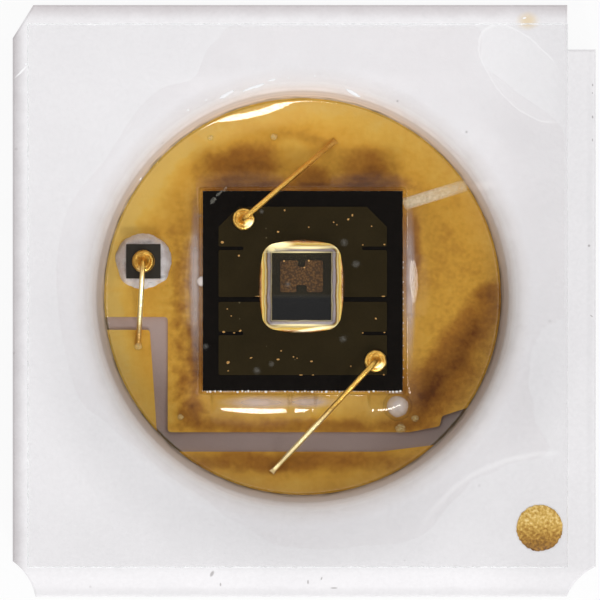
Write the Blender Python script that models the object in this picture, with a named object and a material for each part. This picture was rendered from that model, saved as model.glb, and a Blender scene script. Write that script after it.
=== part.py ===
"""Surface-mount LED in a square ceramic package with a flat glass lid.

A small flip-chip die sits on a silicon submount in a round, gold-floored cavity. Two ball-bonded
gold wires join the submount to the two floor pads, and a protection diode is wired across them.

Lengths are in metres. +Z points up through the lid, +X runs to the right as the package is seen
from above, and the origin is the centre of the underside, where the package is soldered.
"""

import math

import bmesh
import bpy
from mathutils import Vector

MM = 0.001

# Clearance between two pieces that are bonded, plated or laid on each other
SEAT = 0.001 * MM

# Ceramic package, with its damaged corners
BODY_WIDTH = 3.47 * MM
BODY_DEPTH = 3.52 * MM
BASE_THICKNESS = 0.45 * MM
WALL_HEIGHT = 0.60 * MM
EDGE_BREAK = 0.012 * MM
CHAMFER_WIDTH = 0.123 * MM
CHAMFER_DEPTH = 0.198 * MM
NOTCH_WIDTH = 0.170 * MM
NOTCH_DEPTH = 0.265 * MM
SNAP_ARC_RADIUS = 0.345 * MM
LEFT_SNAP_WIDTH = 0.135 * MM
LEFT_SNAP_DEPTH = 0.211 * MM
RIGHT_SNAP_WIDTH = 0.175 * MM
RIGHT_SNAP_DEPTH = 0.178 * MM
SNAP_ARC_STEPS = 6

# Round cavity in the top of the package
CAVITY_X = -0.010 * MM
CAVITY_Y = 0.025 * MM
CAVITY_RADIUS = 1.185 * MM
CAVITY_FLARE = 0.040 * MM
RIM_ROUNDING = 0.045 * MM
RIM_STEPS = 4
ROUND_STEPS = 96
MAIN_EDGE_STEPS = 64
SECOND_EDGE_STEPS = 32

# Gold-plated floor, which runs on under the cavity's wall, and the bare gap across it
FLOOR_METAL = 0.020 * MM
FLOOR_TUCK = 0.200 * MM
GAP_ARM_Y = -0.122 * MM
GAP_ARM_WIDTH = 0.077 * MM
GAP_SIDE_FROM_WALL = 0.378 * MM
GAP_SIDE_WIDTH = 0.107 * MM
GAP_SIDE_TAPER = 0.050 * MM
GAP_BASE_FROM_WALL = 0.373 * MM
GAP_BASE_WIDTH = 0.116 * MM
GAP_STEP_FROM_WALL = 0.545 * MM
GAP_STEP_RUN = 0.180 * MM
GAP_STEP_DRIFT = 0.036 * MM
GAP_STEP_LEAN = 0.015 * MM
GAP_STEP_RISE = 0.061 * MM
GAP_END_ANGLE = 18.0
GAP_BEND_FROM_WALL = 0.724 * MM
GAP_BEND_ANGLE = 7.0
GAP_CORNER_RADIUS = 0.020 * MM

# Solder pads on the underside, and the vias that join two of them to the floor
SOLDER_PAD_THICKNESS = 0.020 * MM
SOLDER_PAD_END_MARGIN = 0.050 * MM
SOLDER_PAD_SIDE_MARGIN = 0.150 * MM
THERMAL_PAD_GAP = 0.250 * MM
SOLDER_PAD_CORNER = 0.060 * MM
VIA_RADIUS = 0.075 * MM
VIA_SPACING = 0.700 * MM
VIA_FROM_WALL = 0.125 * MM
VIA_INSET = 0.100 * MM
VIA_STEPS = 20

# Gold mark that shows the package's polarity
MARK_RADIUS = 0.140 * MM
MARK_THICKNESS = 0.010 * MM
MARK_FROM_RIGHT = 0.335 * MM
MARK_FROM_FRONT = 0.408 * MM
MARK_STEPS = 28

# Glass lid, and the ledges that it leaves bare
LEDGE_LEFT = 0.091 * MM
LEDGE_RIGHT = 0.170 * MM
LEDGE_BACK = 0.113 * MM
LEDGE_FRONT = 0.175 * MM
LID_THICKNESS = 0.300 * MM
LID_EDGE_BREAK = 0.008 * MM

# Adhesive under the lid, and how far it spread past the cavity's rim at angles in degrees
ADHESIVE_THICKNESS = 0.025 * MM
ADHESIVE_SETBACK = 0.012 * MM
ADHESIVE_INSET = 0.015 * MM
ADHESIVE_STEPS = 240
ADHESIVE_SPREAD = (
    (0, 0.40 * MM),
    (33, 0.57 * MM),
    (45, 0.49 * MM),
    (52, 0.47 * MM),
    (57, 0.66 * MM),
    (90, 0.45 * MM),
    (104, 0.43 * MM),
    (109, 0.33 * MM),
    (117, 0.18 * MM),
    (125, 0.23 * MM),
    (145, 0.16 * MM),
    (160, 0.22 * MM),
    (190, 0.18 * MM),
    (205, 0.19 * MM),
    (214, 0.11 * MM),
    (224, 0.06 * MM),
    (242, 0.06 * MM),
    (254, 0.13 * MM),
    (265, 0.22 * MM),
    (281, 0.25 * MM),
    (296, 0.32 * MM),
    (307, 0.24 * MM),
    (313, 0.22 * MM),
    (319, 0.29 * MM),
    (328, 0.46 * MM),
    (333, 0.27 * MM),
    (340, 0.16 * MM),
    (346, 0.13 * MM),
    (352, 0.16 * MM),
    (356, 0.30 * MM),
)

# Silicon submount and the two metal tracks on it
SUBMOUNT_X = -0.009 * MM
SUBMOUNT_Y = 0.059 * MM
SUBMOUNT_SIZE = 1.195 * MM
SUBMOUNT_HEIGHT = 0.250 * MM
SUBMOUNT_BOND = 0.020 * MM
SUBMOUNT_BOND_SETBACK = 0.010 * MM
TRACK_THICKNESS = 0.005 * MM
TRACK_MARGIN = 0.095 * MM
TRACK_GAP = 0.029 * MM
TRACK_GAP_Y = -0.051 * MM
TRACK_CHAMFER = 0.120 * MM
TRACK_CORNER = 0.010 * MM
SLIT_INSET = 0.238 * MM
SLIT_WIDTH = 0.021 * MM
SLIT_LENGTH = 0.148 * MM

# Flip-chip die and what joins it to the submount
DIE_X = -0.007 * MM
DIE_Y = 0.026 * MM
DIE_WIDTH = 0.351 * MM
DIE_DEPTH = 0.399 * MM
DIE_HEIGHT = 0.110 * MM
CONTACT_THICKNESS = 0.006 * MM
CONTACT_CORNER = 0.012 * MM
SOLDER_THICKNESS = 0.014 * MM
SOLDER_SETBACK = 0.006 * MM
P_CONTACT_WIDTH = 0.255 * MM
P_CONTACT_DEPTH = 0.189 * MM
P_CONTACT_Y = 0.061 * MM
P_NOTCH_BACK_WIDTH = 0.042 * MM
P_NOTCH_BACK_DEPTH = 0.039 * MM
P_NOTCH_FRONT_WIDTH = 0.063 * MM
P_NOTCH_FRONT_DEPTH = 0.043 * MM
N_CONTACT_WIDTH = 0.230 * MM
N_CONTACT_DEPTH = 0.072 * MM
N_CONTACT_Y = -0.140 * MM

# Clear resin fillet round the die
FILLET_WIDTH = 0.075 * MM
FILLET_DROP = 0.006 * MM
FILLET_LIP = 0.004 * MM
FILLET_ROUNDNESS = 5.0
FILLET_STEPS = 6
FILLET_CORNER_STEPS = 6

# Clear resin over the cavity's floor, which climbs the wall and the submount
RESIN_DEPTH = 0.085 * MM
RESIN_CLIMB_WALL = 0.130 * MM
RESIN_REACH_WALL = 0.060 * MM
RESIN_BELOW_SUBMOUNT_TOP = 0.015 * MM
RESIN_REACH_SUBMOUNT = 0.070 * MM
RESIN_RINGS = 12

# Gold bond wires
WIRE_RADIUS = 0.0155 * MM
WIRE_SIDES = 12
WIRE_STEPS = 14
WIRE_OVER_EDGE = 0.150 * MM
WIRE_LANDING_SHARE = 0.6
WIRE_HEEL = 0.035 * MM
BALL_RADIUS = 0.063 * MM
BALL_HEIGHT = 0.026 * MM
BALL_NECK = 0.034 * MM
BALL_PROFILE = ((0.0, 0.82), (0.3, 1.0), (0.7, 1.0), (1.0, 0.82))
CONE_HEIGHT_SHARE = 0.25
CONE_RADIUS_SHARE = 0.6
STITCH_LENGTH = 0.060 * MM
STITCH_SPREAD = 1.7
STITCH_SQUEEZE = 0.45
STITCH_STEPS = 2
HEEL_STEPS = 3
UPPER_BALL_FROM_LEFT = 0.149 * MM
UPPER_BALL_FROM_BACK = 0.074 * MM
UPPER_STITCH_ANGLE = 78.0
UPPER_STITCH_SHARE = 0.574
UPPER_LOOP = 0.170 * MM
LOWER_BALL_FROM_RIGHT = 0.067 * MM
LOWER_BALL_FROM_FRONT = 0.083 * MM
LOWER_STITCH_ANGLE = 260.0
LOWER_STITCH_SHARE = 0.812
LOWER_LOOP = 0.170 * MM

# Protection diode beside the submount, in conductive epoxy
DIODE_ANGLE = 167.5
DIODE_SIZE = 0.205 * MM
DIODE_HEIGHT = 0.100 * MM
DIODE_BOND = 0.012 * MM
DIODE_PAD_RADIUS = 0.068 * MM
DIODE_PAD_THICKNESS = 0.004 * MM
EPOXY_RADIUS = 0.178 * MM
EPOXY_ROOM = 0.020 * MM
EPOXY_PLACE_SHARE = 0.853
EPOXY_CLIMB = 0.060 * MM
EPOXY_LIP = 0.004 * MM
EPOXY_STEPS = 4
EPOXY_CORNER_STEPS = 4
DIODE_STITCH_ANGLE = 196.5
DIODE_STITCH_SHARE = 0.716
DIODE_LOOP = 0.090 * MM

# How outlines are drawn and shaded
CORNER_STEPS = 3
CORNER_SHARE = 0.45
SHARP_ANGLE = 32.0
SQUARE_CORNERS = (45, 135, 225, 315)

# Heights that follow from the sizes above
CERAMIC_BOTTOM = SOLDER_PAD_THICKNESS + SEAT
CERAMIC_FLOOR = CERAMIC_BOTTOM + BASE_THICKNESS
CERAMIC_TOP = CERAMIC_FLOOR + WALL_HEIGHT
FLOOR_TOP = CERAMIC_FLOOR + SEAT + FLOOR_METAL
LID_BOTTOM = CERAMIC_TOP + SEAT + ADHESIVE_THICKNESS + SEAT
SUBMOUNT_BOTTOM = FLOOR_TOP + SEAT + SUBMOUNT_BOND + SEAT
SUBMOUNT_TOP = SUBMOUNT_BOTTOM + SUBMOUNT_HEIGHT
TRACK_TOP = SUBMOUNT_TOP + SEAT + TRACK_THICKNESS
CONTACT_BOTTOM = TRACK_TOP + SEAT + SOLDER_THICKNESS + SEAT
DIE_BOTTOM = CONTACT_BOTTOM + CONTACT_THICKNESS + SEAT
DIE_TOP = DIE_BOTTOM + DIE_HEIGHT
DIODE_BOTTOM = FLOOR_TOP + SEAT + DIODE_BOND + SEAT
DIODE_TOP = DIODE_BOTTOM + DIODE_HEIGHT
DIODE_PAD_TOP = DIODE_TOP + SEAT + DIODE_PAD_THICKNESS
RESIN_LEVEL = FLOOR_TOP + RESIN_DEPTH

# Places that follow from the sizes above
CAVITY_CENTRE = Vector((CAVITY_X, CAVITY_Y))
SUBMOUNT_CENTRE = Vector((SUBMOUNT_X, SUBMOUNT_Y))
DIE_CENTRE = SUBMOUNT_CENTRE + Vector((DIE_X, DIE_Y))
RIM_RADIUS = CAVITY_RADIUS + CAVITY_FLARE + RIM_ROUNDING
FLOOR_METAL_RADIUS = CAVITY_RADIUS + FLOOR_TUCK
TRACK_HALF = SUBMOUNT_SIZE / 2 - TRACK_MARGIN
MARK_CENTRE = Vector((BODY_WIDTH / 2 - MARK_FROM_RIGHT, MARK_FROM_FRONT - BODY_DEPTH / 2))
GAP_SIDE_X = GAP_SIDE_FROM_WALL - CAVITY_RADIUS
GAP_BASE_Y = GAP_BASE_FROM_WALL - CAVITY_RADIUS
GAP_STEP_X = CAVITY_RADIUS - GAP_STEP_FROM_WALL
GAP_BEND_X = CAVITY_RADIUS - GAP_BEND_FROM_WALL
VIA_REACH = CAVITY_RADIUS - VIA_FROM_WALL


def clear_scene():
    """Removes whatever objects the scene starts with."""
    for thing in list(bpy.data.objects):
        bpy.data.objects.remove(thing, do_unlink=True)


def material(name, colour, roughness, metallic=0.0, alpha=1.0):
    """Makes a Principled material."""
    made = bpy.data.materials.new(name)
    made.use_nodes = True
    shader = made.node_tree.nodes["Principled BSDF"]
    shader.inputs["Base Color"].default_value = (*colour, 1.0)
    shader.inputs["Roughness"].default_value = roughness
    shader.inputs["Metallic"].default_value = metallic
    shader.inputs["Alpha"].default_value = alpha
    return made


def add_object(name, bm, finish):
    """Turns a bmesh into a named object, with smooth round faces and sharp edges."""
    bmesh.ops.recalc_face_normals(bm, faces=bm.faces)
    mesh = bpy.data.meshes.new(name)
    bm.to_mesh(mesh)
    bm.free()
    mesh.materials.append(finish)
    mesh.shade_smooth()
    mesh.set_sharp_from_angle(angle=math.radians(SHARP_ANGLE))
    made = bpy.data.objects.new(name, mesh)
    bpy.context.scene.collection.objects.link(made)
    return made


def add_cutter(name, bm):
    """Turns a bmesh into a hidden object that only cuts others."""
    cutter = add_object(name, bm, material(name, (0.5, 0.5, 0.5), 0.5))
    cutter.hide_render = True
    cutter.display_type = "WIRE"
    return cutter


def cut(target, cutter):
    """Takes the cutter's shape out of the target."""
    modifier = target.modifiers.new(cutter.name, "BOOLEAN")
    modifier.operation = "DIFFERENCE"
    modifier.solver = "EXACT"
    modifier.object = cutter


def direction(degrees):
    """Gives the flat unit vector at an angle from +X."""
    return Vector((math.cos(math.radians(degrees)), math.sin(math.radians(degrees))))


def polar(centre, radius, degrees):
    """Gives the point at a radius and an angle round a centre."""
    return centre + direction(degrees) * radius


def arc(start, end, radius, steps, bulge):
    """Gives an arc's points from start to end, bulging to the left (1) or the right (-1) of it."""
    chord = end - start
    left = Vector((-chord.y, chord.x)).normalized()
    rise = math.sqrt(max(radius**2 - (chord.length / 2) ** 2, 0.0))
    centre = (start + end) / 2 - left * rise * bulge
    first = math.degrees(math.atan2(start.y - centre.y, start.x - centre.x))
    last = math.degrees(math.atan2(end.y - centre.y, end.x - centre.x))
    turn = (last - first + 180) % 360 - 180
    return [polar(centre, radius, first + turn * step / steps) for step in range(steps + 1)]


def rounded_corner(before, corner, after, radius):
    """Gives the arc that rounds a corner, smaller where the sides beside it are short."""
    back = before - corner
    ahead = after - corner
    half = back.angle(ahead) / 2
    setback = min(radius / math.tan(half), CORNER_SHARE * back.length, CORNER_SHARE * ahead.length)
    start = corner + back.normalized() * setback
    end = corner + ahead.normalized() * setback
    bulge = 1 if back.x * ahead.y > back.y * ahead.x else -1
    return arc(start, end, setback * math.tan(half), CORNER_STEPS, bulge)


def rounded_path(points, radius):
    """Rounds the corners of an open path, and keeps its ends."""
    path = [points[0]]
    for before, corner, after in zip(points, points[1:], points[2:]):
        path += rounded_corner(before, corner, after, radius)
    return path + [points[-1]]


def rounded(points, radius):
    """Rounds every corner of a closed outline."""
    outline = []
    for index, corner in enumerate(points):
        after = points[(index + 1) % len(points)]
        outline += rounded_corner(points[index - 1], corner, after, radius)
    return outline


def grown(outline, distance):
    """Moves each side of an anticlockwise outline outwards by a distance."""
    moved = []
    for index, point in enumerate(outline):
        back = (point - outline[index - 1]).normalized()
        ahead = (outline[(index + 1) % len(outline)] - point).normalized()
        outwards = Vector((back.y + ahead.y, -back.x - ahead.x)).normalized()
        square_share = outwards.x * back.y - outwards.y * back.x
        moved.append(point + outwards * distance / square_share)
    return moved


def rectangle(left, right, front, back):
    """Gives a rectangle's corners, anticlockwise."""
    return [Vector((left, front)), Vector((right, front)), Vector((right, back)), Vector((left, back))]


def reach_in_box(way, left, right, front, back):
    """Gives how far a ray runs before it leaves a box whose sides lie round its start."""
    sides = ((left if way.x < 0 else right, way.x), (front if way.y < 0 else back, way.y))
    return min(side / pace for side, pace in sides if pace)


def reach_in_square(start, way, centre, half):
    """Gives how far a ray runs from a point in a square before it leaves that square."""
    near = centre - start
    return reach_in_box(way, near.x - half, near.x + half, near.y - half, near.y + half)


def even_angles(steps):
    """Gives angles spread evenly round a circle."""
    return [360 * step / steps for step in range(steps)]


def corner_angles(half_width, half_depth, steps):
    """Gives angles all round that meet a rectangle's corners, with 8 stretches of equal steps."""
    corner = math.degrees(math.atan2(half_depth, half_width))
    marks = [0, corner, 90, 180 - corner, 180, 180 + corner, 270, 360 - corner, 360]
    angles = []
    for low, high in zip(marks, marks[1:]):
        angles += [low + (high - low) * step / steps for step in range(steps)]
    return angles


def box_ring(centre, half_width, half_depth, angles):
    """Gives the points where rays at these angles leave a rectangle."""
    ways = [direction(angle) for angle in angles]
    return [centre + way / max(abs(way.x) / half_width, abs(way.y) / half_depth) for way in ways]


def soft_ring(centre, half_width, half_depth, roundness, angles):
    """Gives a rectangle with bulging sides and round corners, which at a roundness of 2 is oval."""
    points = []
    for way in [direction(angle) for angle in angles]:
        reach = (abs(way.x) / half_width) ** roundness + (abs(way.y) / half_depth) ** roundness
        points.append(centre + way / reach ** (1 / roundness))
    return points


def circle(centre, radius, steps):
    """Gives a circle's points, anticlockwise."""
    return [polar(centre, radius, angle) for angle in even_angles(steps)]


def lift(outline, height):
    """Turns a flat outline into a ring of 3-D points at a height."""
    return [Vector((point.x, point.y, height)) for point in outline]


def loft(bm, rings, closed=False):
    """Skins rings of equally many points, and caps the ends or joins the last to the first."""
    loops = [[bm.verts.new(point) for point in ring] for ring in rings]
    pairs = list(zip(loops, loops[1:]))
    if closed:
        pairs.append((loops[-1], loops[0]))
    for low, high in pairs:
        for index in range(len(low)):
            after = (index + 1) % len(low)
            bm.faces.new((low[index], low[after], high[after], high[index]))
    if not closed:
        bm.faces.new(loops[0][::-1])
        bm.faces.new(loops[-1])


def prism(bm, outline, low, high):
    """Extrudes a flat closed outline between two heights."""
    base = bm.faces.new([bm.verts.new(point) for point in lift(outline, low)])
    swept = bmesh.ops.extrude_face_region(bm, geom=[base])
    risen = [item for item in swept["geom"] if isinstance(item, bmesh.types.BMVert)]
    bmesh.ops.translate(bm, verts=risen, vec=(0, 0, high - low))


def add_prism(name, outline, low, high, finish):
    """Makes an object from one extruded outline."""
    bm = bmesh.new()
    prism(bm, outline, low, high)
    return add_object(name, bm, finish)


def add_loft(name, rings, finish, closed=False):
    """Makes an object from one lofted row of rings."""
    bm = bmesh.new()
    loft(bm, rings, closed)
    return add_object(name, bm, finish)


def body_outline():
    """Gives the package's outline: one corner chamfered, one notched and two snapped to an arc."""
    left = -BODY_WIDTH / 2
    right = BODY_WIDTH / 2
    front = -BODY_DEPTH / 2
    back = BODY_DEPTH / 2
    left_snap = arc(
        Vector((left, front + LEFT_SNAP_DEPTH)),
        Vector((left + LEFT_SNAP_WIDTH, front)),
        SNAP_ARC_RADIUS,
        SNAP_ARC_STEPS,
        1,
    )
    right_snap = arc(
        Vector((right - RIGHT_SNAP_WIDTH, front)),
        Vector((right, front + RIGHT_SNAP_DEPTH)),
        SNAP_ARC_RADIUS,
        SNAP_ARC_STEPS,
        1,
    )
    notch = [
        Vector((right, back - NOTCH_DEPTH)),
        Vector((right - NOTCH_WIDTH, back - NOTCH_DEPTH)),
        Vector((right - NOTCH_WIDTH, back)),
    ]
    chamfer = [
        Vector((left + CHAMFER_WIDTH, back)),
        Vector((left, back - CHAMFER_DEPTH)),
    ]
    return left_snap + right_snap + notch + chamfer


def wall_radius(height):
    """Gives the radius of the cavity's flared wall at a height below its rounded rim."""
    share = (height - CERAMIC_FLOOR) / (WALL_HEIGHT - RIM_ROUNDING)
    return CAVITY_RADIUS + CAVITY_FLARE * share


def cavity_cutter():
    """Makes the solid that sinks the cavity, with a flared wall that rounds over at the rim."""
    profile = [(CAVITY_RADIUS, CERAMIC_FLOOR)]
    for step in range(RIM_STEPS + 1):
        lean = direction(90 * step / RIM_STEPS)
        profile.append((RIM_RADIUS - RIM_ROUNDING * lean.x, CERAMIC_TOP - RIM_ROUNDING * (1 - lean.y)))
    profile.append((RIM_RADIUS, CERAMIC_TOP + RIM_ROUNDING))
    bm = bmesh.new()
    loft(bm, [lift(circle(CAVITY_CENTRE, radius, ROUND_STEPS), height) for radius, height in profile])
    return add_cutter("cavity_cutter", bm)


def to_floor_edge(start, way):
    """Gives the point where a line meets the floor metal's round edge, from the cavity's centre."""
    along = start.dot(way)
    return start + way * (math.sqrt(along**2 - start.length_squared + FLOOR_METAL_RADIUS**2) - along)


def floor_edge(start, end, steps):
    """Gives the floor metal's round edge from start to end, anticlockwise."""
    first = math.degrees(math.atan2(start.y, start.x))
    last = math.degrees(math.atan2(end.y, end.x))
    turn = (last - first) % 360
    centre = Vector((0, 0))
    return [polar(centre, FLOOR_METAL_RADIUS, first + turn * step / steps) for step in range(1, steps)]


def main_floor_outline():
    """Gives the large floor pad's outline, which is the disc behind and right of the gap."""
    arm = Vector((GAP_SIDE_X, GAP_ARM_Y))
    elbow = Vector((GAP_SIDE_X, GAP_BASE_Y))
    step_start = Vector((GAP_STEP_X, GAP_BASE_Y))
    step_foot = step_start + Vector((GAP_STEP_RUN, GAP_STEP_DRIFT))
    step_head = step_foot + Vector((GAP_STEP_LEAN, GAP_STEP_RISE))
    left_end = to_floor_edge(arm, Vector((-1, 0)))
    right_end = to_floor_edge(step_head, direction(GAP_END_ANGLE))
    points = [left_end, arm, elbow, step_start, step_foot, step_head, right_end]
    outline = rounded_path(points, GAP_CORNER_RADIUS)
    outline += floor_edge(right_end, left_end, MAIN_EDGE_STEPS)
    return [point + CAVITY_CENTRE for point in outline]


def second_floor_outline():
    """Gives the small floor pad's outline, a strip in front with an arm up the left side."""
    arm = Vector((GAP_SIDE_X - GAP_SIDE_WIDTH, GAP_ARM_Y - GAP_ARM_WIDTH))
    elbow = Vector((arm.x + GAP_SIDE_TAPER, GAP_BASE_Y - GAP_BASE_WIDTH))
    bend = Vector((GAP_BEND_X, elbow.y))
    left_end = to_floor_edge(arm, Vector((-1, 0)))
    right_end = to_floor_edge(bend, direction(GAP_BEND_ANGLE))
    outline = rounded_path([right_end, bend, elbow, arm, left_end], GAP_CORNER_RADIUS)
    outline += floor_edge(left_end, right_end, SECOND_EDGE_STEPS)
    return [point + CAVITY_CENTRE for point in outline]


def floor_cutter():
    """Makes the shape that the floor metal takes up in the ceramic and in the resin."""
    bm = bmesh.new()
    for outline in (main_floor_outline(), second_floor_outline()):
        prism(bm, grown(outline, SEAT), CERAMIC_FLOOR, FLOOR_TOP + SEAT)
    return add_cutter("floor_cutter", bm)


def solder_pad_reach():
    """Gives how far the solder pads reach along X and Y from the centre of the underside."""
    along = BODY_WIDTH / 2 - NOTCH_WIDTH - SOLDER_PAD_END_MARGIN
    across = BODY_DEPTH / 2 - SOLDER_PAD_SIDE_MARGIN
    return along, across


def via_places():
    """Gives each via's name and place, two for each electrode."""
    half = VIA_SPACING / 2
    return {
        "via_main_left": Vector((-half, VIA_REACH)),
        "via_main_right": Vector((half, VIA_REACH)),
        "via_second_left": Vector((-half, -VIA_REACH)),
        "via_second_right": Vector((half, -VIA_REACH)),
    }


def via_cutter():
    """Makes the holes for the vias."""
    bm = bmesh.new()
    for place in via_places().values():
        hole = circle(place, VIA_RADIUS + SEAT, VIA_STEPS)
        prism(bm, hole, CERAMIC_BOTTOM - SOLDER_PAD_THICKNESS, CERAMIC_FLOOR + FLOOR_METAL / 2)
    return add_cutter("via_cutter", bm)


def add_body(finish, floor_space, via_space):
    """Makes the co-fired ceramic package as one solid."""
    outline = body_outline()
    inset = grown(outline, -EDGE_BREAK)
    rings = [
        lift(inset, CERAMIC_BOTTOM),
        lift(outline, CERAMIC_BOTTOM + EDGE_BREAK),
        lift(outline, CERAMIC_TOP - EDGE_BREAK),
        lift(inset, CERAMIC_TOP),
    ]
    body = add_loft("ceramic_body", rings, finish)
    cut(body, cavity_cutter())
    cut(body, floor_space)
    cut(body, via_space)


def add_floor(finish):
    """Makes the two gold floor pads."""
    low = CERAMIC_FLOOR + SEAT
    add_prism("floor_pad_main", main_floor_outline(), low, FLOOR_TOP, finish)
    add_prism("floor_pad_second", second_floor_outline(), low, FLOOR_TOP, finish)


def add_solder_pads(finish):
    """Makes the two electrodes and the thermal pad between them on the underside."""
    along, across = solder_pad_reach()
    inner = VIA_REACH - VIA_INSET
    thermal = inner - THERMAL_PAD_GAP
    stretches = {
        "solder_pad_main": (inner, across),
        "solder_pad_thermal": (-thermal, thermal),
        "solder_pad_second": (-across, -inner),
    }
    for name, (front, back) in stretches.items():
        outline = rounded(rectangle(-along, along, front, back), SOLDER_PAD_CORNER)
        add_prism(name, outline, 0, SOLDER_PAD_THICKNESS, finish)


def add_vias(finish):
    """Makes the filled vias from the electrodes up to the floor pads."""
    for name, place in via_places().items():
        add_prism(name, circle(place, VIA_RADIUS, VIA_STEPS), CERAMIC_BOTTOM, CERAMIC_FLOOR, finish)


def add_polarity_mark(finish):
    """Makes the round gold mark by the package's front right corner."""
    low = CERAMIC_TOP + SEAT
    outline = circle(MARK_CENTRE, MARK_RADIUS, MARK_STEPS)
    add_prism("polarity_mark", outline, low, low + MARK_THICKNESS, finish)


def reach_to_mark(way):
    """Gives how far the adhesive may run from the cavity's centre before it meets the mark."""
    offset = MARK_CENTRE - CAVITY_CENTRE
    along = offset.dot(way)
    half_chord = (MARK_RADIUS + ADHESIVE_SETBACK) ** 2 - offset.length_squared + along**2
    return along - math.sqrt(half_chord) if along > 0 and half_chord > 0 else math.inf


def lid_outline():
    """Gives the lid's outline, inside the ledges."""
    return rectangle(
        LEDGE_LEFT - BODY_WIDTH / 2,
        BODY_WIDTH / 2 - LEDGE_RIGHT,
        LEDGE_FRONT - BODY_DEPTH / 2,
        BODY_DEPTH / 2 - LEDGE_BACK,
    )


def add_lid(finish):
    """Makes the flat glass lid, with its sharp edges just broken."""
    outline = lid_outline()
    inset = grown(outline, -LID_EDGE_BREAK)
    top = LID_BOTTOM + LID_THICKNESS
    rings = [
        lift(inset, LID_BOTTOM),
        lift(outline, LID_BOTTOM + LID_EDGE_BREAK),
        lift(outline, top - LID_EDGE_BREAK),
        lift(inset, top),
    ]
    add_loft("glass_lid", rings, finish)


def adhesive_spread(angle):
    """Gives how far the adhesive spread at an angle, eased between the listed angles."""
    stops = ADHESIVE_SPREAD + ((ADHESIVE_SPREAD[0][0] + 360, ADHESIVE_SPREAD[0][1]),)
    for (low, low_spread), (high, high_spread) in zip(stops, stops[1:]):
        if low <= angle <= high:
            share = (angle - low) / (high - low)
            eased = share * share * (3 - 2 * share)
            return low_spread + (high_spread - low_spread) * eased
    raise ValueError("angle out of range")


def add_adhesive(finish):
    """Makes the adhesive between lid and ceramic, a flat ring with an uneven outer edge."""
    left, front = lid_outline()[0] + Vector((ADHESIVE_INSET, ADHESIVE_INSET)) - CAVITY_CENTRE
    right, back = lid_outline()[2] - Vector((ADHESIVE_INSET, ADHESIVE_INSET)) - CAVITY_CENTRE
    angles = even_angles(ADHESIVE_STEPS)
    outer = []
    for angle in angles:
        way = direction(angle)
        spread = RIM_RADIUS + adhesive_spread(angle)
        reach = min(spread, reach_in_box(way, left, right, front, back), reach_to_mark(way))
        outer.append(CAVITY_CENTRE + way * reach)
    inner = circle(CAVITY_CENTRE, RIM_RADIUS + ADHESIVE_SETBACK, ADHESIVE_STEPS)
    low = CERAMIC_TOP + SEAT
    high = low + ADHESIVE_THICKNESS
    rings = [lift(inner, low), lift(outer, low), lift(outer, high), lift(inner, high)]
    add_loft("lid_adhesive", rings, finish, closed=True)


def add_submount(silicon, bond):
    """Makes the silicon submount and the bond layer under it."""
    half = SUBMOUNT_SIZE / 2
    outline = box_ring(SUBMOUNT_CENTRE, half, half, SQUARE_CORNERS)
    add_prism("submount", outline, SUBMOUNT_BOTTOM, SUBMOUNT_TOP, silicon)
    low = FLOOR_TOP + SEAT
    add_prism("submount_bond", grown(outline, -SUBMOUNT_BOND_SETBACK), low, low + SUBMOUNT_BOND, bond)


def upper_track_outline():
    """Gives the rear track's outline, with two chamfered corners and a slit in each side."""
    half = TRACK_HALF
    front = TRACK_GAP_Y + TRACK_GAP / 2
    slit_high = half - SLIT_INSET
    slit_low = slit_high - SLIT_WIDTH
    slit_end = half - SLIT_LENGTH
    right_side = [
        Vector((half, front)),
        Vector((half, slit_low)),
        Vector((slit_end, slit_low)),
        Vector((slit_end, slit_high)),
        Vector((half, slit_high)),
        Vector((half, half - TRACK_CHAMFER)),
        Vector((half - TRACK_CHAMFER, half)),
    ]
    left_side = [Vector((-point.x, point.y)) for point in reversed(right_side)]
    return rounded(right_side + left_side, TRACK_CORNER)


def lower_track_outline():
    """Gives the front track's outline, with a slit in each side."""
    half = TRACK_HALF
    back = TRACK_GAP_Y - TRACK_GAP / 2
    slit_low = SLIT_INSET - half
    slit_high = slit_low + SLIT_WIDTH
    slit_end = half - SLIT_LENGTH
    right_side = [
        Vector((half, -half)),
        Vector((half, slit_low)),
        Vector((slit_end, slit_low)),
        Vector((slit_end, slit_high)),
        Vector((half, slit_high)),
        Vector((half, back)),
    ]
    left_side = [Vector((-point.x, point.y)) for point in reversed(right_side)]
    return rounded(right_side + left_side, TRACK_CORNER)


def add_tracks(finish):
    """Makes the two metal tracks on the submount."""
    low = SUBMOUNT_TOP + SEAT
    for name, outline in (
        ("submount_track_upper", upper_track_outline()),
        ("submount_track_lower", lower_track_outline()),
    ):
        add_prism(name, [point + SUBMOUNT_CENTRE for point in outline], low, TRACK_TOP, finish)


def p_contact_outline():
    """Gives the H-shaped outline of the die's p contact."""
    right = P_CONTACT_WIDTH / 2
    back = P_CONTACT_DEPTH / 2
    back_notch = P_NOTCH_BACK_WIDTH / 2
    front_notch = P_NOTCH_FRONT_WIDTH / 2
    right_side = [
        Vector((front_notch, P_NOTCH_FRONT_DEPTH - back)),
        Vector((front_notch, -back)),
        Vector((right, -back)),
        Vector((right, back)),
        Vector((back_notch, back)),
        Vector((back_notch, back - P_NOTCH_BACK_DEPTH)),
    ]
    left_side = [Vector((-point.x, point.y)) for point in reversed(right_side)]
    return [point + Vector((0, P_CONTACT_Y)) for point in right_side + left_side]


def n_contact_outline():
    """Gives the outline of the die's n contact, a plain bar."""
    half_width = N_CONTACT_WIDTH / 2
    half_depth = N_CONTACT_DEPTH / 2
    return rectangle(-half_width, half_width, N_CONTACT_Y - half_depth, N_CONTACT_Y + half_depth)


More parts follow.
